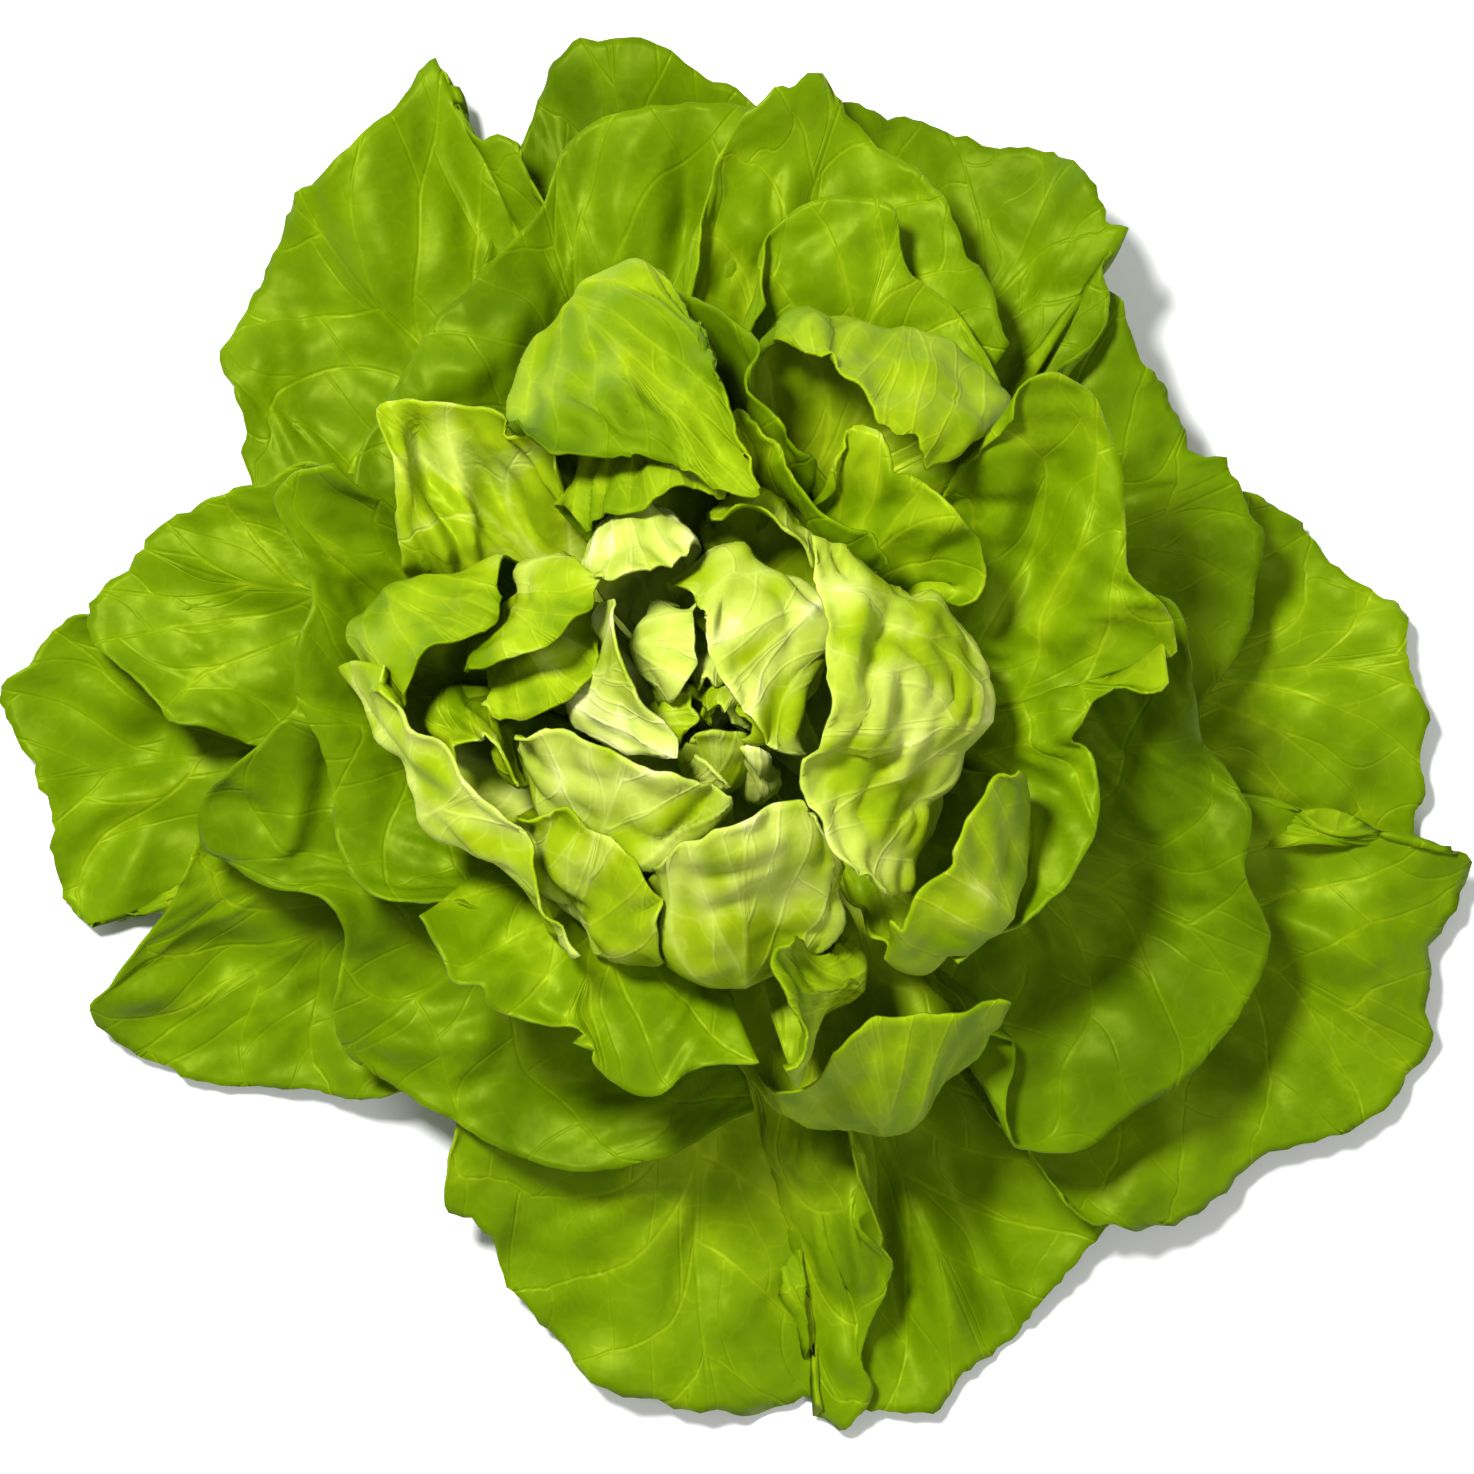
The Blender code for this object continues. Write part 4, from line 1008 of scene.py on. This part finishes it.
def leaf_piece(leaf, seat, shift, seed, material, node):
    """The leaf's fine sheet, on the same middle surface as its solid."""
    runs, places, middle, inner = fine_grid(leaf, seat, shift)
    veins, rungs, to_midrib = vein_fields(middle, runs, places, seed)
    to_vein, to_rung = vein_distances(veins, rungs, middle)
    heart = np.clip((leaf.launch - 30) / 25, 0, 1)
    rise = relief(leaf, runs, middle, (to_vein, to_rung, to_midrib), heart, seed)
    facing = normals(middle)
    surface = creased(leaf.name, middle + facing * rise[..., None], facing)
    surface = frilled(surface, runs, inner, seed + 5)
    name, shape = leaf.name + "_leaf", middle.shape[:2]
    mesh = mesh_of(name, blade_points(surface, runs, to_midrib, to_vein), sheet_faces(*shape))
    pale = paleness(INNER_BASE_PALE if inner else BASE_PALE, leaf, runs, to_vein, to_rung)
    pale = pale + PATCH_PALE * heart * ripple(middle, PATCH_WAVE, seed + 12)
    under = np.array([0.0, 1.0])[:, None, None]
    lengths = path_lengths(surface, 0)
    set_vectors(mesh, "veins", shape, veins, rungs, runs[:, None])
    set_vectors(mesh, "scale", shape, steepness(veins, middle), steepness(rungs, middle), to_midrib)
    set_vectors(mesh, "look", shape, pale, under, lengths[-1] - lengths)
    place_piece(name, mesh, material, node)


class Graph:
    """Short ways to add shader nodes."""

    def __init__(self, material):
        self.tree = material.node_tree

    def add(self, kind, **settings):
        node = self.tree.nodes.new(kind)
        for key, value in settings.items():
            setattr(node, key, value)
        return node

    def put(self, socket, value):
        if isinstance(value, bpy.types.NodeSocket):
            self.tree.links.new(value, socket)
        else:
            socket.default_value = value

    def math(self, operation, *values):
        node = self.add("ShaderNodeMath", operation=operation)
        for socket, value in zip(node.inputs, values):
            self.put(socket, value)
        return node.outputs[0]

    def ramp(self, value, low, high, start=0.0, end=1.0):
        """start at low to end at high, smooth between."""
        node = self.add("ShaderNodeMapRange", interpolation_type="SMOOTHSTEP")
        for socket, given in zip(node.inputs, (value, low, high, start, end)):
            self.put(socket, given)
        return node.outputs[0]

    def noise(self, vector, size, detail=2.0):
        """Noise of about the given feature size in metres, 0 to 1."""
        node = self.add("ShaderNodeTexNoise")
        self.put(node.inputs["Vector"], vector)
        node.inputs["Scale"].default_value = 1 / size
        node.inputs["Detail"].default_value = detail
        return node.outputs["Fac"]

    def colours(self, value, steps):
        """The colour that runs through the steps."""
        node = self.add("ShaderNodeValToRGB")
        self.put(node.inputs[0], value)
        elements = node.color_ramp.elements
        for element, (position, colour) in zip(elements, (steps[0], steps[-1])):
            element.position, element.color = position, colour
        for position, colour in steps[1:-1]:
            elements.new(position).color = colour
        return node.outputs[0]

    def bump(self, height, strength, distance):
        node = self.add("ShaderNodeBump")
        node.inputs["Strength"].default_value = strength
        node.inputs["Distance"].default_value = distance
        self.put(node.inputs["Height"], height)
        return node.outputs[0]

    def three(self, name):
        """The three numbers of a mesh attribute."""
        parts = self.add("ShaderNodeSeparateXYZ")
        self.put(parts.inputs[0], self.add("ShaderNodeAttribute", attribute_name=name).outputs["Vector"])
        return parts.outputs


def to_whole(g, value, steep):
    """Distance in mm from the nearest whole value of a counting field."""
    away = g.math("ABSOLUTE", g.math("SUBTRACT", value, g.math("ROUND", value)))
    return g.math("DIVIDE", away, g.math("MAXIMUM", steep, 0.001))


def vein_mask(g):
    """1 on the midrib, side veins and rungs, 0 between them."""
    veins, rungs, run = g.three("veins")
    steep, rung_steep, to_midrib = g.three("scale")
    shift = g.math("FRACT", g.math("MULTIPLY", g.math("FLOOR", veins), GOLDEN_STEP))
    to_vein = to_whole(g, veins, steep)
    to_rung = to_whole(g, g.math("ADD", rungs, shift), rung_steep)
    down = g.math("SUBTRACT", 1.0, run)
    rib_width = g.math("ADD", 0.5, g.math("MULTIPLY", g.math("POWER", down, 1.5), 4.0))
    vein_width = g.math("ADD", 0.5, g.math("MULTIPLY", down, 0.8))
    rib = g.ramp(to_midrib, 0.0, rib_width, 1.0, 0.0)
    vein = g.ramp(to_vein, 0.0, vein_width, 1.0, 0.0)
    rung = g.ramp(to_rung, 0.0, 0.5, 0.75, 0.0)
    return g.math("MAXIMUM", rib, g.math("MAXIMUM", vein, rung))


def new_material(name):
    """A material, its main shader, and the graph round it."""
    material = bpy.data.materials.new(name)
    material.use_nodes = True
    return material, material.node_tree.nodes["Principled BSDF"], Graph(material)


def leaf_material():
    material, shader, g = new_material("leaf")
    place = g.add("ShaderNodeTexCoord").outputs["Object"]
    mask = vein_mask(g)
    pale, under, to_rim = g.three("look")
    cells = g.math("ABSOLUTE", g.math("SUBTRACT", g.noise(place, NETTING_SIZE, 1.0), 0.5))
    netting = g.ramp(cells, 0.0, 0.035, 1.0, 0.0)
    mottle = g.noise(place, MOTTLE_SIZE, 3.0)
    grain = g.noise(place, GRAIN_SIZE, 1.0)

    tone = g.math("ADD", pale, g.math("MULTIPLY", g.math("SUBTRACT", mottle, 0.5), 0.5))
    for field, weight in ((mask, 0.05), (netting, 0.04), (grain, 0.05), (under, 0.06)):
        tone = g.math("ADD", tone, g.math("MULTIPLY", field, weight))
    tone = g.math("ADD", tone, g.ramp(to_rim, 0.2, 0.8, 0.05, 0.0))
    colour = g.colours(tone, LEAF_COLOURS)

    height = g.math("MULTIPLY", mask, g.ramp(under, 0.0, 1.0, -1.0, 1.0))
    height = g.math("ADD", height, g.math("MULTIPLY", grain, 0.35))
    height = g.math("ADD", height, g.math("MULTIPLY", g.noise(place, PUCKER_SIZE, 1.0), 2.4))
    bump = g.bump(height, 0.6, 0.0002)
    g.put(shader.inputs["Normal"], bump)
    g.put(shader.inputs["Base Color"], colour)
    g.put(shader.inputs["Specular IOR Level"], g.math("ADD", 0.18, g.math("MULTIPLY", pale, 0.28)))
    shader.inputs["Specular Tint"].default_value = GLOSS_TINT
    dull = g.math("ADD", 0.42, g.math("MULTIPLY", grain, 0.12))
    rough = g.math("ADD", g.math("MULTIPLY", pale, -0.12), dull)
    g.put(shader.inputs["Roughness"], g.math("ADD", rough, g.math("MULTIPLY", under, 0.12)))

    glow = g.add("ShaderNodeBsdfTranslucent")
    g.put(glow.inputs["Color"], colour)
    g.put(glow.inputs["Normal"], bump)
    both = g.add("ShaderNodeMixShader")
    both.inputs[0].default_value = SHINE_THROUGH
    g.put(both.inputs[1], shader.outputs[0])
    g.put(both.inputs[2], glow.outputs[0])
    g.put(material.node_tree.nodes["Material Output"].inputs["Surface"], both.outputs[0])
    return material


def stem_material():
    """Pale flesh, with a browned ring and freckles on the cut."""
    material, shader, g = new_material("stem")
    place = g.add("ShaderNodeTexCoord").outputs["Object"]
    parts = g.add("ShaderNodeSeparateXYZ")
    g.put(parts.inputs[0], place)
    x, y, z = parts.outputs
    radius = g.math("SQRT", g.math("ADD", g.math("MULTIPLY", x, x), g.math("MULTIPLY", y, y)))
    wobble = g.math("MULTIPLY", g.noise(place, 0.006, 3.0), 0.004)
    away = g.math("ABSOLUTE", g.math("SUBTRACT", g.math("ADD", radius, wobble), 0.0115))
    ring = g.ramp(away, 0.0, 0.0012, 1.0, 0.0)
    cut = g.ramp(z, 0.0002, 0.002, 1.0, 0.0)
    freckled = g.math("ADD", g.math("MULTIPLY", ring, 0.5), g.noise(place, 0.003, 4.0))
    g.put(shader.inputs["Base Color"], g.colours(g.math("MULTIPLY", cut, freckled), STEM_COLOURS))
    shader.inputs["Roughness"].default_value = 0.5
    g.put(shader.inputs["Normal"], g.bump(g.noise(place, 0.002, 4.0), 0.5, 0.0006))
    return material


def stem_piece(material):
    """The stump, fluted a little where leaves were pulled off, with a flat cut foot."""
    sides, levels = 96, np.linspace(0, STEM_HEIGHT, 60)
    turn = np.linspace(0, 2 * math.pi, sides, endpoint=False)
    radius = stem_radius(levels)[:, None] * np.ones(sides)
    radius = radius + 0.35 * np.sin(5 * turn + levels[:, None] / 4) * np.clip(levels[:, None] / 8, 0, 1)
    rings = np.stack([radius * np.cos(turn), radius * np.sin(turn), levels[:, None] * np.ones(sides)], axis=2)
    inner = (0.75, 0.5, 0.25)
    bottoms = [rings[0] * (share, share, 1) for share in inner[::-1]]
    tops = [rings[-1] * (share, share, 1) for share in inner]
    rings = np.concatenate([np.array(bottoms), rings, np.array(tops)])
    count = len(rings)
    r, c = np.meshgrid(np.arange(count - 1), np.arange(sides), indexing="ij")
    a, b = (r * sides + c).ravel(), (r * sides + (c + 1) % sides).ravel()
    wall = np.column_stack([a, b, b + sides, a + sides])
    k = np.arange(sides // 2 - 1)
    disc = np.column_stack([k, k + 1, sides - 2 - k, sides - 1 - k])
    quads = np.concatenate([wall, disc[:, ::-1], disc + (count - 1) * sides])
    mesh = mesh_of("stem_stump", rings.reshape(-1, 3), quads)
    place_piece("stem_stump", mesh, material, "stem")


def make_floor():
    material, shader, _ = new_material("floor")
    shader.inputs["Base Color"].default_value = (*FLOOR_COLOUR, 1)
    shader.inputs["Roughness"].default_value = 0.8
    mesh = bpy.data.meshes.new("floor")
    corners = [(x * FLOOR_REACH, y * FLOOR_REACH, 0) for x, y in ((-1, -1), (1, -1), (1, 1), (-1, 1))]
    mesh.from_pydata(corners, [], [(0, 1, 2, 3)])
    mesh.materials.append(material)
    floor = bpy.data.objects.new("floor", mesh)
    bpy.context.scene.collection.objects.link(floor)


def make_light(name, place, size, power):
    light = bpy.data.lights.new(name, "AREA")
    light.energy = power
    light.shape, light.size = "DISK", size
    lamp = bpy.data.objects.new(name, light)
    lamp.location = place
    away = np.array(place) / np.linalg.norm(place)
    lamp.rotation_euler = (math.acos(away[2]), 0, math.atan2(away[1], away[0]) + math.pi / 2)
    bpy.context.scene.collection.objects.link(lamp)


def make_studio():
    world = bpy.data.worlds.new("studio")
    world.use_nodes = True
    sky = world.node_tree.nodes["Background"]
    sky.inputs["Color"].default_value = (1, 1, 1, 1)
    sky.inputs["Strength"].default_value = SKY_STRENGTH
    bpy.context.scene.world = world
    make_light("key", KEY_PLACE, KEY_SIZE, KEY_POWER)
    make_light("fill", FILL_PLACE, FILL_SIZE, FILL_POWER)
    bpy.context.scene.view_settings.view_transform = "Standard"


def make_camera():
    camera = bpy.data.cameras.new("camera")
    camera.sensor_width = SENSOR
    distance = CAMERA_HEIGHT - FRAMED_LEVEL * MM
    camera.lens = SENSOR * distance / (PHOTO_PIXELS * MM_PER_PIXEL * MM)
    camera.clip_end = 20
    eye = bpy.data.objects.new("camera", camera)
    eye.location = (VIEW_CENTRE[0] * MM, VIEW_CENTRE[1] * MM, CAMERA_HEIGHT)
    bpy.context.scene.collection.objects.link(eye)
    bpy.context.scene.camera = eye


def build():
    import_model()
    stem_piece(stem_material())
    material = leaf_material()
    for k, (leaf, seat, shift) in enumerate(settled_leaves()):
        leaf_piece(leaf, seat, shift, SEEDS_PER_LEAF * k, material, leaf.name)
    still = np.zeros((SHEET_ROWS, SHEET_COLUMNS, 3))
    for k, bud in enumerate(BUDS):
        seat, seed = BUD_SEAT + BUD_STEP * k, BUD_SEED + SEEDS_PER_LEAF * k
        leaf_piece(turned(bud), seat, still, seed, material, BUD_NODE)
    make_floor()
    make_studio()
    make_camera()


build()
